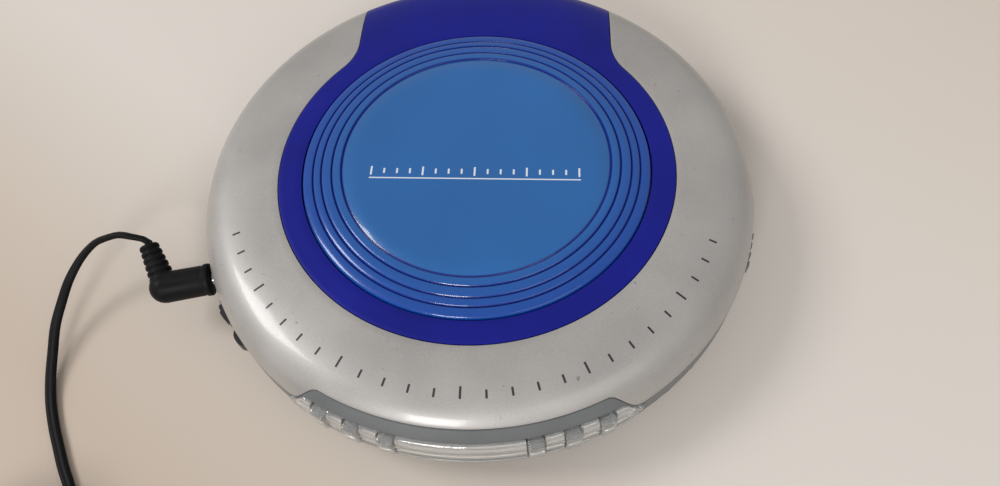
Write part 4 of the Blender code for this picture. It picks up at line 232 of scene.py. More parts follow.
class Finish:
    """A material of one Principled shader, whose nodes all come from add()."""

    def __init__(self, name, **settings):
        self.made = bpy.data.materials.new(name)
        self.made.use_nodes = True
        self.tree = self.made.node_tree
        self.shader = self.tree.nodes["Principled BSDF"]
        for key, value in settings.items():
            self.shader.inputs[key.replace("_", " ").title().replace("Ior", "IOR")].default_value = value
        spot = self.add("TexCoord", {}, {}, "Object")
        inputs = {0: spot, 1: (0.0, OUTLINE_MIDDLE, 0.0)}
        self.place = self.add("VectorMath", {"operation": "ADD"}, inputs)

    def add(self, kind, settings, inputs, output=0):
        """Adds one node: its settings come first, then the values or links of its sockets."""
        node = self.tree.nodes.new("ShaderNode" + kind)
        for key, value in settings.items():
            setattr(node, key, value)
        for key, value in inputs.items():
            self.feed(node.inputs[key], value)
        return Socket(self, node.outputs[output])

    def feed(self, target, value):
        if isinstance(value, Socket):
            self.tree.links.new(value.socket, target)
        elif hasattr(target.default_value, "__len__") and len(value) < len(target.default_value):
            target.default_value = (*value, 1.0)
        else:
            target.default_value = value

    def set(self, **links):
        """Feeds the shader's own sockets."""
        for key, value in links.items():
            self.feed(self.shader.inputs[key.replace("_", " ").title()], value)
        return self.made

    def noise(self, scale, detail=3.0, rough=0.5, place=None):
        """Soft noise whose features are about one over scale wide, in metres."""
        inputs = {"Vector": place or self.place, "Scale": scale, "Detail": detail, "Roughness": rough}
        return self.add("TexNoise", {}, inputs)

    def blend(self, share, first, second):
        """Mixes two colours."""
        inputs = {0: share, 6: first, 7: second}
        return self.add("Mix", {"data_type": "RGBA"}, inputs, 2)

    def band(self, value, low, high, soft):
        """1 between two limits, falling off over a soft edge."""
        inputs = {"Value": value, 1: low - soft, 2: low, 3: 0.0, 4: 1.0}
        rise = self.add("MapRange", {}, inputs)
        fall = self.add("MapRange", {}, {"Value": value, 1: high, 2: high + soft, 3: 1.0, 4: 0.0})
        return rise * fall

    def level(self, value, low, high, new_low=0.0, new_high=1.0):
        inputs = {"Value": value, 1: low, 2: high, 3: new_low, 4: new_high}
        return self.add("MapRange", {}, inputs)

    def axes(self, place=None):
        """X, Y and Z of the place on the piece."""
        node = self.add("SeparateXYZ", {}, {0: place or self.place}).socket.node
        return [Socket(self, node.outputs[i]) for i in range(3)]

    def polar(self):
        """Angle and radius about the middle of the case."""
        x, y, _ = self.axes()
        radius = (x * x + y * y).math("SQRT")
        return y.math("ARCTAN2", x), radius

    def bump(self, height, strength, distance):
        inputs = {"Strength": strength, "Distance": distance, "Height": height}
        return self.add("Bump", {}, inputs)


def shade(colour, share):
    """A colour made darker or lighter."""
    return [min(1.0, c * share) for c in colour]


def silver_paint(look):
    """Satin silver paint with fine flake, a soft drift in tone and a printed scale of ticks."""
    made = Finish("Silver paint", metallic=0.38, coat_weight=0.45, coat_roughness=0.12)
    flake = made.noise(5200.0, 2.0)
    drift = made.noise(38.0, 3.0)
    tone = made.level(flake * 0.5 + drift * 0.5, 0.35, 0.65)
    silver = made.blend(tone, shade(look.silver, 0.84), shade(look.silver, 1.16))
    speck = made.level(made.noise(620.0, 2.0, 0.6), 0.735, 0.755)
    worn = made.blend(speck * 0.55, silver, (0.10, 0.095, 0.09))
    angle, radius = made.polar()
    step = math.radians(5.3)
    turn = angle + TURN / 4.0
    near = (turn / step).math("ROUND")
    off = (turn - near * step).math("ABSOLUTE") * radius
    long_mark = ((near / 5.0 - (near / 5.0).math("ROUND")).math("ABSOLUTE")) < 0.05
    inner = made.level(long_mark, 0.0, 1.0, look.tick_radius - 0.9 * MM, look.tick_radius - 1.7 * MM)
    reach = made.level(radius - inner, -0.05 * MM, 0.05 * MM)
    stop = made.level(radius, look.tick_radius + 0.95 * MM, look.tick_radius + 1.05 * MM, 1.0, 0.0)
    line = made.level(off, 0.22 * MM, 0.30 * MM, 1.0, 0.0)
    spread = made.level(near.math("ABSOLUTE"), 13.4, 13.6, 1.0, 0.0)
    ink = line * reach * stop * spread
    colour = made.blend(ink, worn, (0.012, 0.012, 0.014))
    rough = made.level(drift, 0.3, 0.7, 0.40, 0.48) + flake * 0.04
    normal = made.bump(flake, 0.16, 0.04 * MM)
    return made.set(base_color=colour, roughness=rough, metallic=0.38 - ink * 0.36, normal=normal)


def cobalt_plastic(look):
    """Deep blue moulded plastic with a very fine grain."""
    made = Finish("Cobalt plastic", specular_ior_level=0.25)
    grain = made.noise(3800.0, 2.0)
    cloud = made.noise(45.0, 3.0)
    tone = made.level(cloud, 0.3, 0.7)
    colour = made.blend(tone, shade(look.cobalt, 0.85), shade(look.cobalt, 1.15))
    rough = made.level(cloud, 0.3, 0.7, 0.36, 0.46)
    return made.set(base_color=colour, roughness=rough, normal=made.bump(grain, 0.12, 0.03 * MM))


def sky_window(look):
    """Glossy clear-blue lens: paler on its ridges, darkened by painted shade in the grooves, with a plain
    printed scale.
    """
    made = Finish("Sky window", coat_weight=0.6, coat_roughness=0.03, specular_ior_level=0.3)
    _, radius = made.polar()
    x, y, _ = made.axes()
    # Painted shade: a dark band at each groove between the ridges, standing in for the shadow the ridges cast
    # through the clear lens onto its backing
    groove_shade = None
    for share in RIDGE_SHARES[:-1]:
        at = WINDOW_RADIUS * share
        width = (0.55 if share == RIDGE_SHARES[0] else 0.42) * MM
        shade_band = made.band(radius, at - width / 2.0, at + width / 2.0, 0.22 * MM)
        groove_shade = shade_band if groove_shade is None else groove_shade + shade_band
    ridged = made.level(radius, WINDOW_RADIUS * RIDGE_SHARES[0], WINDOW_RADIUS)
    cloud = made.noise(26.0, 3.0)
    middle = made.blend(made.level(cloud, 0.25, 0.75), shade(look.sky, 0.9), shade(look.sky, 1.12))
    outer = made.blend(ridged.math("POWER", 0.5), middle, look.ridge)
    # The groove bands take the groove colour, which is painted shade
    groove_shaded = made.blend(groove_shade.math("MINIMUM", 1.0), outer, look.groove_shade)
    step = 3.2 * MM
    near = (x / step).math("ROUND")
    off = (x - near * step).math("ABSOLUTE")
    long_mark = ((near / 4.0 - (near / 4.0).math("ROUND")).math("ABSOLUTE")) < 0.05
    half = made.level(long_mark, 0.0, 1.0, 0.75 * MM, 1.3 * MM)
    tall = made.level((y + 4.0 * MM).math("ABSOLUTE") - half, -0.03 * MM, 0.03 * MM, 1.0, 0.0)
    line = made.level(off, 0.20 * MM, 0.26 * MM, 1.0, 0.0)
    spread = made.level(near.math("ABSOLUTE"), 8.4, 8.6, 1.0, 0.0)
    rule = made.band(y, -6.3 * MM, -6.0 * MM, 0.04 * MM)
    rule = rule * made.level(x.math("ABSOLUTE"), 25.9 * MM, 26.0 * MM, 1.0, 0.0)
    print_mask = (tall * line * spread).math("MAXIMUM", rule)
    colour = made.blend(print_mask, groove_shaded, (0.62, 0.65, 0.70))
    fine = made.noise(900.0, 4.0, 0.7)
    rough = made.level(fine, 0.35, 0.75, 0.20, 0.34)
    return made.set(base_color=colour, roughness=rough)


def moulded(name, colour, rough, grain=2600.0, strength=0.14, coat=0.0, dust=0.0):
    """Plain moulded plastic: slight cloud in tone and gloss, and a fine moulded grain."""
    made = Finish(name, coat_weight=coat, coat_roughness=0.25)
    cloud = made.noise(60.0, 3.0)
    fine = made.noise(grain, 2.0)
    tone = made.level(cloud, 0.3, 0.7)
    base = made.blend(tone, shade(colour, 0.88), shade(colour, 1.12))
    if dust:
        speck = made.level(made.noise(1400.0, 2.0), 0.66, 0.74)
        base = made.blend(speck * dust, base, (0.45, 0.43, 0.40))
    gloss = made.level(cloud, 0.3, 0.7, rough - 0.05, rough + 0.05)
    return made.set(base_color=base, roughness=gloss, normal=made.bump(fine, strength, 0.03 * MM))


def clear_plastic(look):
    """Water-clear moulded plastic with faint flow lines."""
    made = Finish("Clear plastic", transmission_weight=0.85, ior=1.45, coat_weight=0.6, coat_roughness=0.05)
    x, y, z = made.axes()
    flow = made.add("CombineXYZ", {}, {0: x * 0.2, 1: y * 0.2, 2: z * 3.0})
    streak = made.noise(900.0, 2.0, 0.5, flow)
    colour = made.blend(streak, look.clear, shade(look.clear, 1.04))
    rough = made.level(streak, 0.3, 0.7, 0.04, 0.09)
    return made.set(base_color=colour, roughness=rough, normal=made.bump(streak, 0.02, 0.02 * MM))


def steel(name, colour, rough, along=0):
    """Bright metal with fine lines drawn along one axis."""
    made = Finish(name, metallic=1.0)
    shares = [4.0, 4.0, 4.0]
    shares[along] = 0.15
    parts = {i: axis * share for i, (axis, share) in enumerate(zip(made.axes(), shares))}
    lines = made.noise(1500.0, 3.0, 0.6, made.add("CombineXYZ", {}, parts))
    base = made.blend(lines, shade(colour, 0.86), colour)
    gloss = made.level(lines, 0.3, 0.7, rough - 0.06, rough + 0.08)
    return made.set(base_color=base, roughness=gloss, normal=made.bump(lines, 0.10, 0.02 * MM))


def board_green(look):
    """Solder-masked board with copper tracks that show faintly under the mask."""
    made = Finish("Board green", coat_weight=0.5, coat_roughness=0.15)
    settings = {"feature": "DISTANCE_TO_EDGE", "distance": "CHEBYCHEV"}
    cell = made.add("TexVoronoi", settings, {"Vector": made.place, "Scale": 420.0})
    track = made.level(cell, 0.04, 0.07, 1.0, 0.0)
    base = made.blend(track * 0.7, look.board, shade(look.board, 2.1))
    return made.set(base_color=base, roughness=0.38 + track * 0.1, normal=made.bump(track, 0.2, 0.04 * MM))


def cord_sheath(look):
    """Soft black cable sheath with hardly any sheen."""
    made = Finish("Cord sheath", specular_ior_level=0.08)
    cloud = made.noise(180.0, 3.0)
    fine = made.noise(4000.0, 2.0)
    base = made.blend(made.level(cloud, 0.3, 0.75), look.black, shade(look.black, 1.7))
    rough = made.level(cloud, 0.3, 0.7, 0.42, 0.54)
    return made.set(base_color=base, roughness=rough, normal=made.bump(fine, 0.12, 0.03 * MM))


LOOKS = {}


def make_finishes(look):
    """Every finish, under the name of the record's material slot that it belongs to."""
    LOOKS.update(
        silver_paint=silver_paint(look),
        cobalt_plastic=cobalt_plastic(look),
        sky_window=sky_window(look),
        case_grey=moulded("Case grey", look.grey, 0.42, dust=0.12),
        clear_plastic=clear_plastic(look),
        black_plastic=moulded("Black plastic", look.black, 0.36, 3200.0, 0.12),
        inner_plastic=moulded("Inner plastic", look.inner, 0.45, 1900.0, 0.3),
        board_green=board_green(look),
        bright_steel=steel("Bright steel", (0.62, 0.61, 0.60), 0.27),
        white_nylon=moulded("White nylon", (0.66, 0.65, 0.60), 0.42, 2400.0, 0.08),
        black_rubber=moulded("Black rubber", look.black, 0.72, 2200.0, 0.4, dust=0.1),
        lens_glass=moulded("Lens glass", (0.10, 0.16, 0.34), 0.10, 800.0, 0.0, 1.0),
        cord_sheath=cord_sheath(look),
    )


# Modelling helpers


def deselect():
    active = bpy.context.view_layer.objects.active
    if active and active.mode != "OBJECT":
        bpy.ops.object.mode_set(mode="OBJECT")
    bpy.ops.object.select_all(action="DESELECT")


def choose(piece):
    deselect()
    piece.select_set(True)
    bpy.context.view_layer.objects.active = piece
    return piece


def named(name):
    piece = bpy.context.object
    piece.name = piece.data.name = name
    return piece


def settle(piece):
    """Puts a piece's place into its mesh."""
    choose(piece)
    bpy.ops.object.transform_apply(location=True, rotation=True, scale=True)
    return piece


def tidy(piece):
    """Merges doubles and turns every face outwards."""
    choose(piece)
    bpy.ops.object.mode_set(mode="EDIT")
    bpy.ops.mesh.select_all(action="SELECT")
    bpy.ops.mesh.remove_doubles(threshold=0.001 * MM)
    bpy.ops.mesh.normals_make_consistent(inside=False)
    bpy.ops.object.mode_set(mode="OBJECT")
    return piece


def skin(name, loops, ends="caps"):
    """A circle extruded from loop to loop, whose points are then drawn to their places.

    Its ends are capped, joined to each other, or left as they are where they meet on an axis.
    """
    deselect()
    sides = len(loops[0])
    fill = "NGON" if ends == "caps" else "NOTHING"
    bpy.ops.mesh.primitive_circle_add(vertices=sides, radius=1.0, fill_type=fill)
    piece = named(name)
    bpy.ops.object.mode_set(mode="EDIT")
    for _ in loops[1:]:
        bpy.ops.mesh.extrude_region_move(TRANSFORM_OT_translate={"value": (0.0, 0.0, 1.0)})
    if ends == "joined":
        bpy.ops.mesh.select_all(action="DESELECT")
        bpy.ops.mesh.select_mode(type="EDGE")
        bpy.ops.mesh.select_non_manifold()
        bpy.ops.mesh.bridge_edge_loops()
        bpy.ops.mesh.select_mode(type="VERT")
    bpy.ops.object.mode_set(mode="OBJECT")
    for vertex in piece.data.vertices:
        x, y, z = vertex.co
        around = round(math.atan2(x, y) / TURN * sides) % sides
        vertex.co = loops[round(z)][around]
    return tidy(piece)


def placed(piece, frame_of):
    """Moves a piece's mesh into a frame, if one is given."""
    if frame_of is not None:
        piece.data.transform(frame_of)
    return piece


def even(count):
    return [TURN * i / count for i in range(count)]


def turned(name, outline, sides=SMALL, frame_of=None, ends="open"):
    """A round piece from a (radius, height) outline, or from one for each angle."""
    at = outline if callable(outline) else (lambda angle: outline)
    angles = even(sides)
    sections = [at(angle) for angle in angles]
    loops = [
        [(s[k][0] * math.cos(a), s[k][0] * math.sin(a), s[k][1]) for a, s in zip(angles, sections)]
        for k in range(len(sections[0]))
    ]
    return placed(skin(name, loops, ends), frame_of)


def prism(name, outline, low, high, frame_of=None):
    """A flat outline drawn up from one height to another."""
    return placed(skin(name, [[(x, y, z) for x, y in outline] for z in (low, high)]), frame_of)


def box(name, low, high, frame_of=None, corner=0.0, steps=2):
    """A block between two corners, its edges rounded."""
    deselect()
    low, high = Vector(low), Vector(high)
    bpy.ops.mesh.primitive_cube_add(size=1.0, location=(low + high) / 2.0, scale=high - low)
    piece = settle(named(name))
    if corner:
        bpy.ops.object.mode_set(mode="EDIT")
        bpy.ops.mesh.select_all(action="SELECT")
        bpy.ops.mesh.bevel(offset=corner, segments=steps, affect="EDGES")
        bpy.ops.object.mode_set(mode="OBJECT")
    return placed(piece, frame_of)


def bar(name, start, end, radius, sides=SMALL):
    """A round bar between two points."""
    deselect()
    start, end = Vector(start), Vector(end)
    run = end - start
    bpy.ops.mesh.primitive_cone_add(
        vertices=sides,
        radius1=radius,
        radius2=radius,
        depth=run.length,
        location=(start + end) / 2.0,
        rotation=run.to_track_quat("Z", "Y").to_euler(),
    )
    return settle(named(name))


def hinge_bar(name, reach, radius):
    """A bar along the hinge, the same way to both sides."""
    return bar(name, (-reach, HINGE_Y, HINGE_Z), (reach, HINGE_Y, HINGE_Z), radius)


def shape(piece, *others, operation="DIFFERENCE"):
    """Cuts, joins or keeps a piece by others, which are then gone."""
    for other in others:
        step = piece.modifiers.new(other.name, "BOOLEAN")
        step.operation = operation
        step.solver = "EXACT"
        step.object = other
        choose(piece)
        bpy.ops.object.modifier_apply(modifier=step.name)
        bpy.data.objects.remove(other, do_unlink=True)
    return piece


def soften(piece, width, steps=2, angle=34.0):
    """Rounds a piece's sharp edges."""
    step = piece.modifiers.new("Edges", "BEVEL")
    step.width = width
    step.segments = steps
    step.limit_method = "ANGLE"
    step.angle_limit = math.radians(angle)
    choose(piece)
    bpy.ops.object.modifier_apply(modifier=step.name)
    return piece


def fit(piece, body, slot, *nodes, angle=32.0):
    """Shades a finished piece, gives it its finish and lets it ride in place of CAD nodes."""
    choose(piece)
    if piece.type == "MESH":
        bpy.ops.object.shade_smooth_by_angle(angle=math.radians(angle))
    piece.data.transform(TO_FRAME)
    piece.data.materials.clear()
    piece.data.materials.append(LOOKS[slot])
    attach(piece, body)
    if nodes:
        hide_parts(*nodes)
    return piece


def dress(slot, *nodes):
    """Gives CAD nodes that stay their finish."""
    for name in nodes:
        data = NODES[name].data
        data.materials.clear()
        data.materials.append(LOOKS[slot])


def arc(centre, radius, start, end, count):
    spots = [start + (end - start) * i / count for i in range(count + 1)]
    return [(centre[0] + radius * math.cos(a), centre[1] + radius * math.sin(a)) for a in spots]


def frame_at(angle, radius, height, heading=None):
    """A frame on the case: X points out, Y along the rim, Z up."""
    spot = Vector((radius * math.cos(angle), radius * math.sin(angle), height))
    return Matrix.Translation(spot) @ Matrix.Rotation(angle if heading is None else heading, 4, "Z")


def clamp(value):
    return min(1.0, max(0.0, value))


def front_share(angle):
    """1 inside the lid's front cut, 0 away from it, with an S between."""
    off = abs(math.remainder(angle - FRONT, TURN))
    share = clamp((FRONT_HALF - off) / SHOULDER)
    return share * share * (3.0 - 2.0 * share)


def lid_edge(angle):
    return LID_EDGE + FRONT_LIFT * front_share(angle)


# Lid

ROLL_STOP = math.radians(78.0)


def lid_outside(edge, inner, count=10, crown=8):
    """The rolled rim from its edge up, then the crown in to an inner radius."""
    start = math.asin(clamp((edge - RIM_BASE) / RIM_BEND))
    roll = arc((RIM_CENTRE, RIM_BASE), RIM_BEND, start, ROLL_STOP, count)
    r0, z0 = roll[-1]
    slope = -math.cos(ROLL_STOP) / math.sin(ROLL_STOP)
    run = inner - r0
    over = []
    for i in range(1, crown + 1):
        t = i / crown
        height = (
            (2 * t**3 - 3 * t**2 + 1) * z0
            + (t**3 - 2 * t**2 + t) * slope * run
            + (3 * t**2 - 2 * t**3) * CROWN_TOP
            + (t**3 - t**2) * -0.012 * run
        )
        over.append((r0 + run * t, height))
    return roll + over


def lid_section(edge, inner):
    start = math.asin(clamp((edge - RIM_BASE) / (RIM_BEND - LID_SKIN)))
    inside = arc((RIM_CENTRE, RIM_BASE), RIM_BEND - LID_SKIN, start, math.pi / 2.0, 6)
    return lid_outside(edge, inner) + [(inner, CROWN_TOP - LID_SKIN)] + inside[::-1]


def insert_outline(room):
    """The cobalt ring and its tongue in plan, grown by some room."""
    radius = INSERT_RADIUS + room
    half = TONGUE_HALF + room
    fillet = TONGUE_FILLET - room
    middle = half + fillet
    height = math.sqrt((radius + fillet) ** 2 - middle**2)
    meet = math.atan2(height, middle)
    front = arc((0.0, 0.0), radius, math.pi - meet, TURN + meet, 160)
    right = arc((middle, height), fillet, math.pi + meet, math.pi, 18)
    left = [(-x, y) for x, y in reversed(right)]
    far = CASE_RADIUS + REACH
    return front + right[1:] + [(half, far), (-half, far)] + left[:-1]


class PLAYER_OT_lid_cover(bpy.types.Operator):
    """Silver lid shell with its rolled rim, front cut and opening"""

    bl_idname = "player.lid_cover"
    bl_label = "Lid cover"

    def execute(self, context):
        inner = INSERT_RADIUS - WALL
        cover = turned("lid_shell", lambda a: lid_section(lid_edge(a), inner), 360, ends="joined")
        room = prism("lid_opening", insert_outline(GAP * 0.8), LID_EDGE - REACH, CROWN_TOP + REACH)
        shape(cover, room)
        fit(soften(cover, 0.16 * MM, 2, 50.0), "lid", "silver_paint", "lid_cover", angle=40.0)
        return {"FINISHED"}


class PLAYER_OT_lid_insert(bpy.types.Operator):
    """Cobalt ring and tongue, with the lugs of the hinge"""

    bl_idname = "player.lid_insert"
    bl_label = "Lid insert"

    def execute(self, context):
        inner = WINDOW_RADIUS + GAP
        insert = turned("lid_ring", lambda a: lid_section(LID_EDGE, inner), 300, ends="joined")
        keep = prism("ring_outline", insert_outline(0.0), LID_EDGE - REACH, CROWN_TOP + REACH)
        shape(insert, keep, operation="INTERSECT")
        barrel = arc((HINGE_Y, HINGE_Z), KNUCKLE, math.radians(125.0), math.radians(420.0), 40)
        inside = CASE_RADIUS - LID_SKIN - LID_FIT / 2.0
        low = LID_EDGE + 0.2 * MM
        lug = [(inside, low), (CASE_RADIUS + GAP, low)] + barrel
        lug += [(CASE_RADIUS, LID_EDGE + WALL), (inside, LID_EDGE + WALL)]
        for side in (-1.0, 1.0):
            ends = sorted(side * x for x in LUG_SPAN)
            shape(insert, prism("lug", lug, *ends, ACROSS), operation="UNION")
        shape(insert, hinge_bar("bore", 17.0 * MM, PIN_BORE))
        fit(soften(insert, 0.14 * MM, 2, 50.0), "lid", "cobalt_plastic", "lid_insert", angle=40.0)
        return {"FINISHED"}


def window_outline(rise):
    """The lens in section: a low dome, four rounded ridges with grooves between, and its foot."""
    fall = 1.4 * MM
    marks = [
        (WINDOW_RADIUS * at, WINDOW_CENTRE - fall * down)
        for at, down in zip(RIDGE_SHARES, RIDGE_FALL_SHARES)
    ]
    outline = [(0.0, WINDOW_CENTRE - 1.8 * MM), (0.0, WINDOW_CENTRE)]
    outline += [(marks[0][0] * i / 8.0, WINDOW_CENTRE) for i in range(1, 8)]
    outline.append((marks[0][0] - 0.35 * MM, WINDOW_CENTRE - 0.02 * MM))
    for (r0, z0), (r1, z1) in zip(marks, marks[1:]):
        outline.append((r0, z0 - 0.28 * MM))
        for i in range(1, 10):
            t = i / 10.0
            dome = math.sqrt(max(0.0, 1.0 - (2.0 * t - 1.0) ** 2)) ** 0.7
            outline.append((r0 + (r1 - r0) * t, z0 + (z1 - z0) * t + rise * dome - 0.1 * MM))
    seat = LINER_TOP + GAP
    foot = WINDOW_RADIUS - 2.3 * MM
    rim = marks[-1]
    outline += [(rim[0], rim[1] - 0.35 * MM), (rim[0], seat), (foot, seat), (foot, WINDOW_CENTRE - 1.8 * MM)]
    return outline


class PLAYER_OT_lid_window(bpy.types.Operator):
    """Clear-blue window with four ridges round it"""

    bl_idname = "player.lid_window"
    bl_label = "Lid window"

    def execute(self, context):
        sizes = context.scene.player_sizes
        lens = turned("lid_lens", window_outline(sizes.ridge_rise), FINE)
        fit(lens, "lid", "sky_window", "lid_window", angle=48.0)
        dress("inner_plastic", "lid_liner")
        return {"FINISHED"}


class PLAYER_OT_hinge(bpy.types.Operator):
    """Hinge pin and the wound spring that lifts the lid"""

    bl_idname = "player.hinge"
    bl_label = "Hinge"

    def execute(self, context):
        dress("bright_steel", "hinge_pin", "lid_spring")
        return {"FINISHED"}


# Deck and lower case


def deck_section(angle):
    seam = lid_edge(angle) - GAP
    rise = math.asin(clamp((seam - RIM_BASE) / RIM_BEND))
    outside = arc((RIM_CENTRE, RIM_BASE), RIM_BEND, 0.0, rise, 5)
    bend = RIM_BEND - LID_SKIN - LID_FIT

    def under_lid(height):
        return RIM_CENTRE + math.sqrt(bend**2 - (height - RIM_BASE) ** 2)

    levels = [seam + (DECK_TOP - seam) * i / 4 for i in range(5)]
    shelf = [(under_lid(max(level, seam)), level) for level in levels]
    side = CASE_RADIUS - WALL
    front = 66.5 * MM
    lower = side + (front - side) * front_share(angle)
    edge = 0.5 * MM
    return (
        [(CASE_RADIUS, SPLIT + GAP / 2.0)]
        + outside
        + shelf
        + [(WELL_RADIUS + edge, DECK_TOP), (WELL_RADIUS, DECK_TOP - edge)]
        + [(WELL_RADIUS, WELL_FLOOR + edge), (WELL_RADIUS - edge, WELL_FLOOR)]
        + [(WELL_RADIUS * s, WELL_FLOOR) for s in (0.75, 0.5)]
        + [(12.0 * MM, WELL_FLOOR), (12.0 * MM, BAY_TOP)]
        + [(WELL_RADIUS + WALL, BAY_TOP), (WELL_RADIUS + WALL, DECK_TOP - WALL)]
        + [(front - 2.0 * LID_FIT, DECK_TOP - WALL), (front, DECK_TOP - 2.0 * WALL)]
        + [(front, FRONT_STEP), (lower, FRONT_STEP), (lower, SPLIT + GAP / 2.0)]
    )


def trim_heights(angle, room=0.0):
    """The clear strip's lower and upper edge, drawn to a point at both ends."""
    off = abs(angle - FRONT)
    share = math.sqrt(clamp((FRONT_HALF - off) / TRIM_TAPER))
    middle = (TRIM_LOW + TRIM_HIGH) / 2.0
    half = TRIM_TIP / 2.0 + (TRIM_HIGH - TRIM_LOW - TRIM_TIP) / 2.0 * share
    high = min(middle + half, lid_edge(angle) - 3.0 * GAP)
    return middle - half - room, high + room


def case_profile(height):
    if height <= RIM_BASE:
        return CASE_RADIUS
    return RIM_CENTRE + math.sqrt(RIM_BEND**2 - (height - RIM_BASE) ** 2)


def along_front(name, section, reach, count=96):
    """A strip bent round the front, from one section for each angle."""
    loops = []
    for i in range(count + 1):
        angle = FRONT - reach + 2.0 * reach * i / count
        loops.append([(r * math.cos(angle), r * math.sin(angle), z) for r, z in section(angle)])
    return skin(name, loops)


def key_box(name, angle, inside, outside, room, corner=0.0):
    half = KEY_WIDTH / 2.0 + room
    turn = Matrix.Rotation(angle, 4, "Z")
    return box(name, (inside, -half, KEY_LOW - room), (outside, half, KEY_HIGH + room), turn, corner, 3)


def deck_cutters():
    """What is cut from the deck: its well's openings, front pocket, mouths and slots."""
    far = CASE_RADIUS + REACH

    def pocket(angle):
        low, high = trim_heights(angle, GAP)
        return [(far, low), (far, high), (TRIM_INNER - GAP, high), (TRIM_INNER - GAP, low)]

    end, half, corner = SLED_SLOT_END, SLED_SLOT_HALF, SLED_SLOT_CORNER
    slot = [(0.0, -half)]
    slot += arc((end - corner, corner - half), corner, -math.pi / 2.0, 0.0, 8)
    slot += arc((end - corner, half - corner), corner, 0.0, math.pi / 2.0, 8) + [(0.0, half)]
    made = [
        bar("hub_hole", (0.0, 0.0, BAY_TOP - WALL), (0.0, 0.0, DECK_TOP), HUB_HOLE, 96),
        prism("sled_slot", slot, BAY_TOP - WALL, DECK_TOP - GAP),
        along_front("pocket", pocket, FRONT_HALF + GAP / CASE_RADIUS, 72),
    ]
    for side in (-1.0, 1.0):
        spot = (side * SCALLOP_SPOT[0], SCALLOP_SPOT[1])
        ends = ((*spot, DECK_TOP - SCALLOP_DEPTH), (*spot, CROWN_TOP))
        made.append(bar("scallop", *ends, SCALLOP_RADIUS, 96))
    for angle in KEY_ANGLES:
        made.append(key_box("key_hole", angle, KEY_STEM - REACH, far, GAP))
    jack = frame_at(JACK_ANGLE, CASE_RADIUS, JACK_HEIGHT, JACK_HEADING)
    inlet = frame_at(INLET_ANGLE, CASE_RADIUS, INLET_HEIGHT)
    for hole, radius in ((jack, JACK_MOUTH), (inlet, INLET_MOUTH)):
        ends = [hole @ Vector((side * REACH, 0.0, 0.0)) for side in (-1.0, 1.0)]
        made.append(bar("mouth", *ends, radius))
    wheel = frame_at(WHEEL_ANGLE, WHEEL_OUT, 0.0)
    spots = [wheel @ Vector((0.0, 0.0, z)) for z in WHEEL_LEVELS]
    made.append(bar("wheel_slot", *spots, WHEEL_SLOT))
    for angle, level, long, tall, travel in SIDE_SLOTS:
        place = frame_at(angle, CASE_RADIUS, level)
        made.append(box("slot", (-REACH, -long, -tall), (REACH, long + travel, tall), place, 0.2 * MM))
    hook = frame_at(RELEASE_ANGLE, 63.4 * MM, DECK_TOP)
    made.append(box("hook_hole", (-GAP, -2.8 * MM, -4.1 * MM), (2.4 * MM, 3.4 * MM, REACH), hook))
    rib = frame_at(RIB_ANGLE, 63.5 * MM, DECK_TOP)
    made.append(box("rib_hole", (-0.6 * MM, -1.5 * MM, -4.1 * MM), (1.5 * MM, 2.1 * MM, REACH), rib))
    made.append(hinge_bar("hinge_trough", LUG_SPAN[1], KNUCKLE + GAP))
    notch = ((1.55 * MM, 67.3 * MM, FRONT_STEP), (LUG_SPAN[0], HINGE_Y, LID_EDGE + GAP))
    made.append(box("spring_notch", *notch))
    return made


class PLAYER_OT_deck(bpy.types.Operator):
    """Grey upper case with the disc well, finger scallops and every mouth and slot"""

    bl_idname = "player.deck"
    bl_label = "Deck"

    def execute(self, context):
        deck = turned("upper_case", deck_section, 360, ends="joined")
        barrel = arc((HINGE_Y, HINGE_Z), KNUCKLE, math.radians(-45.0), math.radians(110.0), 24)
        inside = CASE_RADIUS - 3.0 * MM
        web = [(inside, SPLIT + GAP), (CASE_RADIUS, SPLIT + GAP)] + barrel + [(inside, RIM_BASE - GAP)]
        for side in (-1.0, 1.0):
            ends = sorted(side * x for x in WEB_SPAN)
            shape(deck, prism("web", web, *ends, ACROSS), operation="UNION")
        shape(deck, *deck_cutters())
        shape(deck, hinge_bar("pin_bore", 25.0 * MM, PIN_BORE))
        fit(soften(deck, 0.12 * MM, 1, 50.0), "player", "case_grey", "deck", angle=40.0)
        return {"FINISHED"}


class PLAYER_OT_lower_case(bpy.types.Operator):
    """Grey bowl with the battery opening and screw recesses, with its door, screws and feet"""

    bl_idname = "player.lower_case"
    bl_label = "Lower case"

    def execute(self, context):
        dress("case_grey", "lower_case", "battery_door")
        dress("bright_steel", *(f"case_screw_{i}" for i in range(1, 5)))
        dress("black_rubber", *(f"foot_{i}" for i in range(1, 5)))
        dress("bright_steel", "battery_contact_left", "battery_contact_right")
        return {"FINISHED"}


# Front strip, keys and side controls


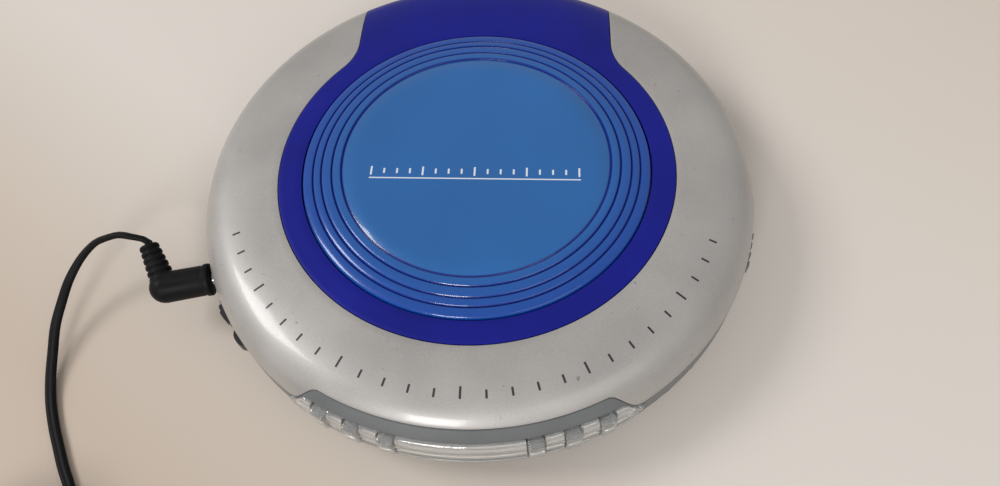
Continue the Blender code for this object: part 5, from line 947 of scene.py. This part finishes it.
class PLAYER_OT_front_strip(bpy.types.Operator):
    """Clear strip round the front, with its layer lines and a notch for each key"""

    bl_idname = "player.front_strip"
    bl_label = "Front strip"

    def execute(self, context):
        grooves = context.scene.player_sizes.strip_grooves

        def section(angle):
            low, high = trim_heights(angle)
            tall = high - low
            edge = min(0.35 * MM, tall * 0.3)
            outside = [(case_profile(low) + TRIM_PROUD - edge, low)]
            steps = 8 * (grooves + 1)
            for i in range(steps + 1):
                level = low + edge + (tall - 2.0 * edge) * i / steps
                wave = math.cos(TURN * i / 8.0)
                sunk = 0.26 * MM * max(0.0, wave - 0.4) / 0.6 if 0 < i < steps else 0.0
                outside.append((case_profile(level) + TRIM_PROUD - sunk, level))
            outside.append((case_profile(high) + TRIM_PROUD - edge, high))
            return outside + [(TRIM_INNER, high), (TRIM_INNER, low)]

        strip = along_front("clear_strip", section, FRONT_HALF, 140)
        for angle in KEY_ANGLES:
            half = KEY_WIDTH / 2.0 + GAP
            turn = Matrix.Rotation(angle, 4, "Z")
            ends = ((TRIM_INNER - REACH, -half, KEY_LOW - GAP), (75.0 * MM, half, 25.2 * MM))
            shape(strip, box("notch", *ends, turn))
        fit(soften(strip, 0.1 * MM, 2, 60.0), "player", "clear_plastic", "button_trim", angle=50.0)
        return {"FINISHED"}


class PLAYER_OT_keys(bpy.types.Operator):
    """Six clear push keys with rounded edges"""

    bl_idname = "player.keys"
    bl_label = "Keys"

    def execute(self, context):
        for i, angle in enumerate(KEY_ANGLES):
            key = key_box(f"key_cap_{i + 1}", angle, KEY_STEM, KEY_FACE, 0.0, 0.45 * MM)
            fit(key, f"key_{i + 1}", "clear_plastic", f"button_{i + 1}", angle=50.0)
        return {"FINISHED"}


class PLAYER_OT_side_controls(bpy.types.Operator):
    """Knurled volume wheel, slide knob, release slide and the sockets behind them"""

    bl_idname = "player.side_controls"
    bl_label = "Side controls"

    def execute(self, context):
        dress("black_plastic", "volume_wheel", "bass_knob")
        dress("case_grey", "open_slide")
        dress("inner_plastic", "volume_pot", "bass_switch", "phones_jack", "power_inlet", "lid_switch")
        dress("board_green", "main_board", "key_board_left", "key_board_right")
        return {"FINISHED"}


class PLAYER_OT_mechanism(bpy.types.Operator):
    """Turntable, pickup, rods, gears and motors under the deck"""

    bl_idname = "player.mechanism"
    bl_label = "Mechanism"

    def execute(self, context):
        dress("bright_steel", "chassis", "spindle_motor", "spindle_shaft", "guide_rod_main")
        dress("bright_steel", "guide_rod_side", "feed_motor")
        dress("white_nylon", "turntable", "feed_gear", "feed_pinion")
        dress("black_rubber", "damper_1", "damper_2", "damper_3")
        dress("black_plastic", "pickup_sled")
        dress("lens_glass", "objective_lens")
        return {"FINISHED"}


# Plugs and lead


def direction(heading, tilt):
    flat = math.cos(tilt)
    return Vector((math.cos(heading) * flat, math.sin(heading) * flat, math.sin(tilt)))


def along(start, way):
    """A frame whose Z runs one way from a point."""
    return Matrix.Translation(start) @ Vector(way).to_track_quat("Z", "Y").to_matrix().to_4x4()


def relief_outline():
    """The cable end of a plug, in rings that step down towards the cord."""
    outline = [(0.0, 0.0), (3.3 * MM, 0.0), (3.25 * MM, 1.6 * MM), (3.0 * MM, 3.2 * MM)]
    rings = 5
    run = (RELIEF_LENGTH - 3.2 * MM) / rings
    for i in range(rings):
        radius = (3.0 - 0.7 * i / rings) * MM
        low = 3.2 * MM + run * i
        outline += [
            (radius - 0.5 * MM, low + run * 0.08),
            (radius - 0.5 * MM, low + run * 0.34),
            (radius - 0.05 * MM, low + run * 0.44),
            (radius, low + run * 0.6),
            (radius - 0.08 * MM, low + run * 0.96),
        ]
    return outline + [(1.5 * MM, RELIEF_LENGTH), (0.0, RELIEF_LENGTH)]


def make_plug(name, pin_name, node, pin_node, jack, heading, tilt):
    """A moulded right-angle plug. In its frame X points away from the jack."""
    x_axis = jack @ Matrix.Rotation(math.pi / 2.0, 4, "Y")
    arm = [
        (0.0, PLUG_SEAT),
        (3.6 * MM, PLUG_SEAT),
        (4.1 * MM, PLUG_SEAT + 0.3 * MM),
        (4.1 * MM, PLUG_SEAT + 1.4 * MM),
        (3.75 * MM, PLUG_SEAT + 1.7 * MM),
        (3.85 * MM, PLUG_SEAT + 2.2 * MM),
        (3.95 * MM, ELBOW_REACH),
        (0.0, ELBOW_REACH),
    ]
    body = turned(name, arm, SMALL, x_axis)
    elbow = jack @ Vector((ELBOW_REACH, 0.0, 0.0))
    deselect()
    bpy.ops.mesh.primitive_uv_sphere_add(segments=SMALL, ring_count=24, radius=3.95 * MM, location=elbow)
    shape(body, settle(named("elbow")), operation="UNION")
    away = direction(heading, tilt)
    shape(body, turned("relief", relief_outline(), SMALL, along(elbow, away)), operation="UNION")
    step = body.modifiers.new("Mould", "REMESH")
    step.mode = "VOXEL"
    step.voxel_size = 0.17 * MM
    smooth = body.modifiers.new("Soft", "SMOOTH")
    smooth.factor = 0.5
    smooth.iterations = 3
    choose(body)
    for modifier in (step, smooth):
        bpy.ops.object.modifier_apply(modifier=modifier.name)
    fit(body, "player", "cord_sheath", node, angle=60.0)
    pin = [(radius * MM, level * MM) for radius, level in PIN_OUTLINE]
    seat = jack @ Matrix.Translation((PLUG_SEAT - GAP, 0.0, 0.0)) @ Matrix.Rotation(-math.pi / 2.0, 4, "Y")
    contact = turned(pin_name, pin, 32)
    levels = [face.center.z / MM for face in contact.data.polygons]
    contact.data.transform(seat)
    fit(contact, "player", "bright_steel", pin_node, angle=40.0)
    contact.data.materials.append(LOOKS["black_plastic"])
    for face, level in zip(contact.data.polygons, levels):
        face.material_index = int(any(low < level < high for low, high in PIN_RINGS))
    return body, contact, elbow + away * RELIEF_LENGTH, away


def coil_point(turns):
    """A point of the coil after so many turns: in and out again, layer upon layer."""
    layer = min(COIL_LAYERS - 1, int(turns / COIL_LOOPS))
    into = turns - layer * COIL_LOOPS
    spread = into if layer % 2 else COIL_LOOPS - into
    climb = 0.0
    if layer and into < 0.25:
        climb = (into - 0.25) / 0.5
    if layer < COIL_LAYERS - 1 and into > COIL_LOOPS - 0.25:
        climb = (into - COIL_LOOPS + 0.25) / 0.5
    radius = COIL_INNER + COIL_PITCH * spread
    angle = COIL_START - TURN * turns
    return Vector(
        (
            COIL_CENTRE[0] + radius * math.cos(angle),
            COIL_CENTRE[1] + radius * math.sin(angle),
            COIL_BASE + COIL_PITCH * (layer + climb),
        )
    )


def smooth_line(points, step):
    """Points at an even step along a smooth curve through the ones given."""
    spots = [2.0 * points[0] - points[1]] + points + [2.0 * points[-1] - points[-2]]
    fine = []
    for a, b, c, d in zip(spots, spots[1:], spots[2:], spots[3:]):
        for i in range(10):
            t = i / 10.0
            bend = (2.0 * a - 5.0 * b + 4.0 * c - d) * t**2 + (3.0 * b - a - 3.0 * c + d) * t**3
            fine.append(0.5 * (2.0 * b + (c - a) * t + bend))
    fine.append(points[-1])
    total = sum((b - a).length for a, b in zip(fine, fine[1:]))
    count = max(2, round(total / step))
    found, walked, wanted = [fine[0]], 0.0, total / count
    for a, b in zip(fine, fine[1:]):
        span = (b - a).length
        while walked + span >= wanted * len(found) and len(found) < count:
            found.append(a.lerp(b, (wanted * len(found) - walked) / span))
        walked += span
    return found + [fine[-1]]


def lead_profile():
    """The twin lead in section: two round cores side by side."""
    deselect()
    bpy.ops.curve.primitive_bezier_circle_add(radius=1.0)
    profile = named("lead_section")
    spline = profile.data.splines[0]
    core = LEAD_THICK / 2.0
    reach = LEAD_WIDTH / 2.0 - core
    outline = arc((reach, 0.0), core, -math.radians(118.0), math.radians(118.0), 10)
    outline += arc((-reach, 0.0), core, math.radians(62.0), math.radians(298.0), 10)
    profile.data.splines.remove(spline)
    spline = profile.data.splines.new("POLY")
    spline.points.add(len(outline) - 1)
    for point, (x, y) in zip(spline.points, outline):
        point.co = (x, y, 0.0, 1.0)
    spline.use_cyclic_u = True
    profile.hide_render = True
    return profile


class PLAYER_OT_lead(bpy.types.Operator):
    """The twin lead with its two right-angle plugs, coil and tie"""

    bl_idname = "player.lead"
    bl_label = "Lead"

    def execute(self, context):
        jack = frame_at(JACK_ANGLE, CASE_RADIUS, JACK_HEIGHT, JACK_HEADING)
        plug, contact, leave, away = make_plug(
            "near_plug", "near_contact", "plug", "plug_pin", jack, RELIEF_HEADING, RELIEF_TILT
        )
        far = Matrix.Translation(FAR_PLUG_SPOT) @ Matrix.Rotation(FAR_PLUG_TURN, 4, "Z")
        far_plug, far_contact, far_leave, far_away = make_plug(
            "end_plug", "end_contact", "far_plug", "far_pin", far, FAR_PLUG_TURN + math.pi / 2.0, 0.0
        )
        drop = Vector((0.0, 0.0, -LEAD_LIFT))
        route = [Vector(p) * MM for p in LEAD_ROUTE]
        route = [p + drop * clamp((0.01 - p.z) / 0.006) for p in route]
        steps = int(COIL_LAYERS * COIL_LOOPS * COIL_POINTS)
        loops = [coil_point(i / COIL_POINTS) for i in range(steps + 1)]
        free = [leave - away * 0.6 * MM, leave + away * 1.6 * MM] + route
        tail = [Vector(p) * MM for p in TAIL_ROUTE]
        tail = [p + drop * clamp((0.004 - p.z) / 0.002) for p in tail]
        tail += [far_leave + far_away * 3.6 * MM, far_leave - far_away * 0.6 * MM]
        points = smooth_line(free + loops[::3] + tail, 1.6 * MM)
        deselect()
        bpy.ops.curve.primitive_nurbs_path_add()
        lead = named("lead_cord")
        curve = lead.data
        curve.splines.remove(curve.splines[0])
        line = curve.splines.new("POLY")
        line.points.add(len(points) - 1)
        curve.dimensions = "3D"
        curve.twist_mode = "Z_UP"
        curve.bevel_mode = "OBJECT"
        curve.bevel_object = lead_profile()
        curve.use_fill_caps = True
        lead.location = (0.0, 0.0, 0.0)
        walked = 0.0
        total = sum((b - a).length for a, b in zip(points, points[1:]))
        spots = zip(line.points, points, [points[0]] + points)
        for spot, point, before in spots:
            walked += (point - before).length
            spot.co = (*point, 1.0)
            wound = clamp((walked - 105.0 * MM) / (20.0 * MM))
            wound *= clamp((total - 70.0 * MM - walked) / (20.0 * MM))
            start = 1.0 - min(1.0, walked / (45.0 * MM))
            drift = noise.noise(Vector((walked * 18.0, 0.0, 0.0)))
            spot.tilt = math.radians(78.0) * start * start + wound * math.radians(45.0 + 30.0 * drift)
        fit(lead, "player", "cord_sheath", "lead_free", "lead_coil", "lead_tail")
        dress("black_plastic", "lead_tie")
        tuple(TO_FRAME @ leave)
        return {"FINISHED"}


# Stage


class PLAYER_OT_stage(bpy.types.Operator):
    """Pale table with painted shadows, soft studio light and the camera"""

    bl_idname = "player.stage"
    bl_label = "Stage"

    def execute(self, context):
        stage = context.scene.player_stage
        scene = context.scene
        deselect()
        bpy.ops.mesh.primitive_plane_add(size=6.0)
        table = named("table_top")
        made = Finish("Table", specular_ior_level=0.25)
        cloud = made.noise(9.0, 3.0)
        x, y, _ = made.axes()
        # Painted shadows: the table darkens to a warm shade at the near left and, more lightly, at the far
        # right of the player
        left_shadow = made.level(x * 0.75 + y, -0.13, -0.03, 1.0, 0.0)
        right_shadow = made.level(x + y * 0.8, 0.06, 0.24)
        plain = made.blend(cloud, shade(stage.table, 0.97), stage.table)
        # Colours of the painted shadows: the table's own colour darkened by these shares
        left_shadow_colour, right_shadow_colour = (
            [c * share for c, share in zip(stage.table, shares)]
            for shares in ((0.72, 0.64, 0.565), (0.95, 0.88, 0.81))
        )
        tone = made.blend(left_shadow * 0.95, plain, left_shadow_colour)
        tone = made.blend(right_shadow * 0.6, tone, right_shadow_colour)
        made.set(base_color=tone, roughness=made.level(cloud, 0.3, 0.7, 0.5, 0.6))
        table.data.materials.append(made.made)
        for name, spot, aim, size, power in (
            ("key_lamp", (-1.15, 0.05, 1.15), (0.0, 0.0, 0.0), 0.55, stage.key_power),
            ("fill_lamp", (0.8, -0.9, 1.2), (0.0, 0.0, 0.0), 0.9, stage.fill_power),
            ("front_lamp", (-0.24, -0.95, 0.62), (0.0, -0.05, 0.0), 0.32, stage.front_power),
        ):
            bpy.ops.object.light_add(type="AREA", location=spot)
            lamp = named(name)
            lamp.data.energy = power
            lamp.data.size = size
            lamp.rotation_euler = (Vector(aim) - Vector(spot)).to_track_quat("-Z", "Y").to_euler()
        world = bpy.data.worlds.new("Studio")
        world.use_nodes = True
        backdrop = world.node_tree.nodes["Background"]
        backdrop.inputs["Color"].default_value = (*stage.air, 1.0)
        backdrop.inputs["Strength"].default_value = stage.air_strength
        scene.world = world
        bpy.ops.object.camera_add()
        camera = named("photo_camera")
        camera.data.sensor_width = 36.0
        camera.data.lens = 28.08
        camera.data.clip_start = 0.005
        rows = (
            (0.99854, -0.01609, 0.05154, 0.01636),
            (0.04024, 0.85816, -0.51180, -0.11868),
            (-0.03599, 0.51312, 0.85756, 0.18340),
            (0.0, 0.0, 0.0, 1.0),
        )
        camera.matrix_world = Matrix(rows)
        scene.camera = camera
        scene.view_settings.view_transform = "Standard"
        return {"FINISHED"}


def colour_property(name, description, default):
    return bpy.props.FloatVectorProperty(
        name=name, description=description, default=default, size=3, min=0.0, max=1.0, subtype="COLOR"
    )


def number_property(name, description, default, unit):
    return bpy.props.FloatProperty(name=name, description=description, default=default, unit=unit)


class PlayerSizes(bpy.types.PropertyGroup):
    """Sizes of what is only shown."""

    ridge_rise: bpy.props.FloatProperty(
        name="Ridge rise",
        description="How far the window's ridges stand up",
        default=0.42 * MM,
        min=0.0,
        unit="LENGTH",
    )
    strip_grooves: bpy.props.IntProperty(
        name="Strip grooves", description="Layer lines in the clear strip", default=3, min=0, max=6
    )


class PlayerColours(bpy.types.PropertyGroup):
    """Colours of the finishes."""

    silver: colour_property("Silver", "Lid paint", (0.37, 0.355, 0.34))
    cobalt: colour_property("Cobalt", "Lid insert", (0.002, 0.005, 0.185))
    sky: colour_property("Sky", "Middle of the window", (0.010, 0.102, 0.32))
    ridge: colour_property("Ridge", "Ridges round the window", (0.001, 0.048, 0.28))
    # Colour of the painted shade in the window's grooves
    groove_shade: colour_property("Groove", "Deep lines of the window", (0.003, 0.022, 0.20))
    grey: colour_property("Grey", "Case", (0.125, 0.133, 0.137))
    clear: colour_property("Clear", "Front strip and keys", (0.93, 0.94, 0.93))
    black: colour_property("Black", "Knobs, plugs and lead", (0.006, 0.006, 0.0065))
    inner: colour_property("Inner", "Inner plastic", (0.035, 0.036, 0.04))
    board: colour_property("Board", "Circuit boards", (0.012, 0.085, 0.035))
    tick_radius: number_property("Tick radius", "Where the lid's printed scale lies", 60.4 * MM, "LENGTH")


class PlayerStage(bpy.types.PropertyGroup):
    """Table, light and camera."""

    table: colour_property("Table", "Table top", (0.65, 0.60, 0.55))
    air: colour_property("Air", "Light from all round", (1.0, 0.985, 0.97))
    air_strength: number_property("Air strength", "Strength of the light from all round", 0.50, "NONE")
    key_power: number_property("Key power", "Lamp at the left", 11.0, "POWER")
    fill_power: number_property("Fill power", "Lamp at the right", 3.5, "POWER")
    front_power: number_property("Front power", "Small lamp in front", 5.5, "POWER")


OPERATORS = (
    PLAYER_OT_stage,
    PLAYER_OT_lead,
    PLAYER_OT_lid_cover,
    PLAYER_OT_lid_insert,
    PLAYER_OT_lid_window,
    PLAYER_OT_hinge,
    PLAYER_OT_deck,
    PLAYER_OT_lower_case,
    PLAYER_OT_front_strip,
    PLAYER_OT_keys,
    PLAYER_OT_side_controls,
    PLAYER_OT_mechanism,
)


class PLAYER_PT_looks(bpy.types.Panel):
    """Lists the player's sizes, colours and steps."""

    bl_label = "Disc player"
    bl_idname = "PLAYER_PT_looks"
    bl_space_type = "VIEW_3D"
    bl_region_type = "UI"
    bl_category = "Player"

    def draw(self, context):
        for group in (context.scene.player_sizes, context.scene.player_colours, context.scene.player_stage):
            column = self.layout.column()
            for key in group.__annotations__:
                column.prop(group, key)
        for operator in OPERATORS:
            self.layout.operator(operator.bl_idname)


GROUPS = (
    ("player_sizes", PlayerSizes),
    ("player_colours", PlayerColours),
    ("player_stage", PlayerStage),
)


def register():
    for name, group in GROUPS:
        bpy.utils.register_class(group)
        setattr(bpy.types.Scene, name, bpy.props.PointerProperty(type=group))
    for made in (*OPERATORS, PLAYER_PT_looks):
        bpy.utils.register_class(made)


def unregister():
    for made in (PLAYER_PT_looks, *reversed(OPERATORS)):
        bpy.utils.unregister_class(made)
    for name, group in reversed(GROUPS):
        delattr(bpy.types.Scene, name)
        bpy.utils.unregister_class(group)


def main():
    register()
    make_finishes(bpy.context.scene.player_colours)
    for operator in OPERATORS:
        group, step = operator.bl_idname.split(".")
        getattr(getattr(bpy.ops, group), step)()


if __name__ == "__main__":
    main()
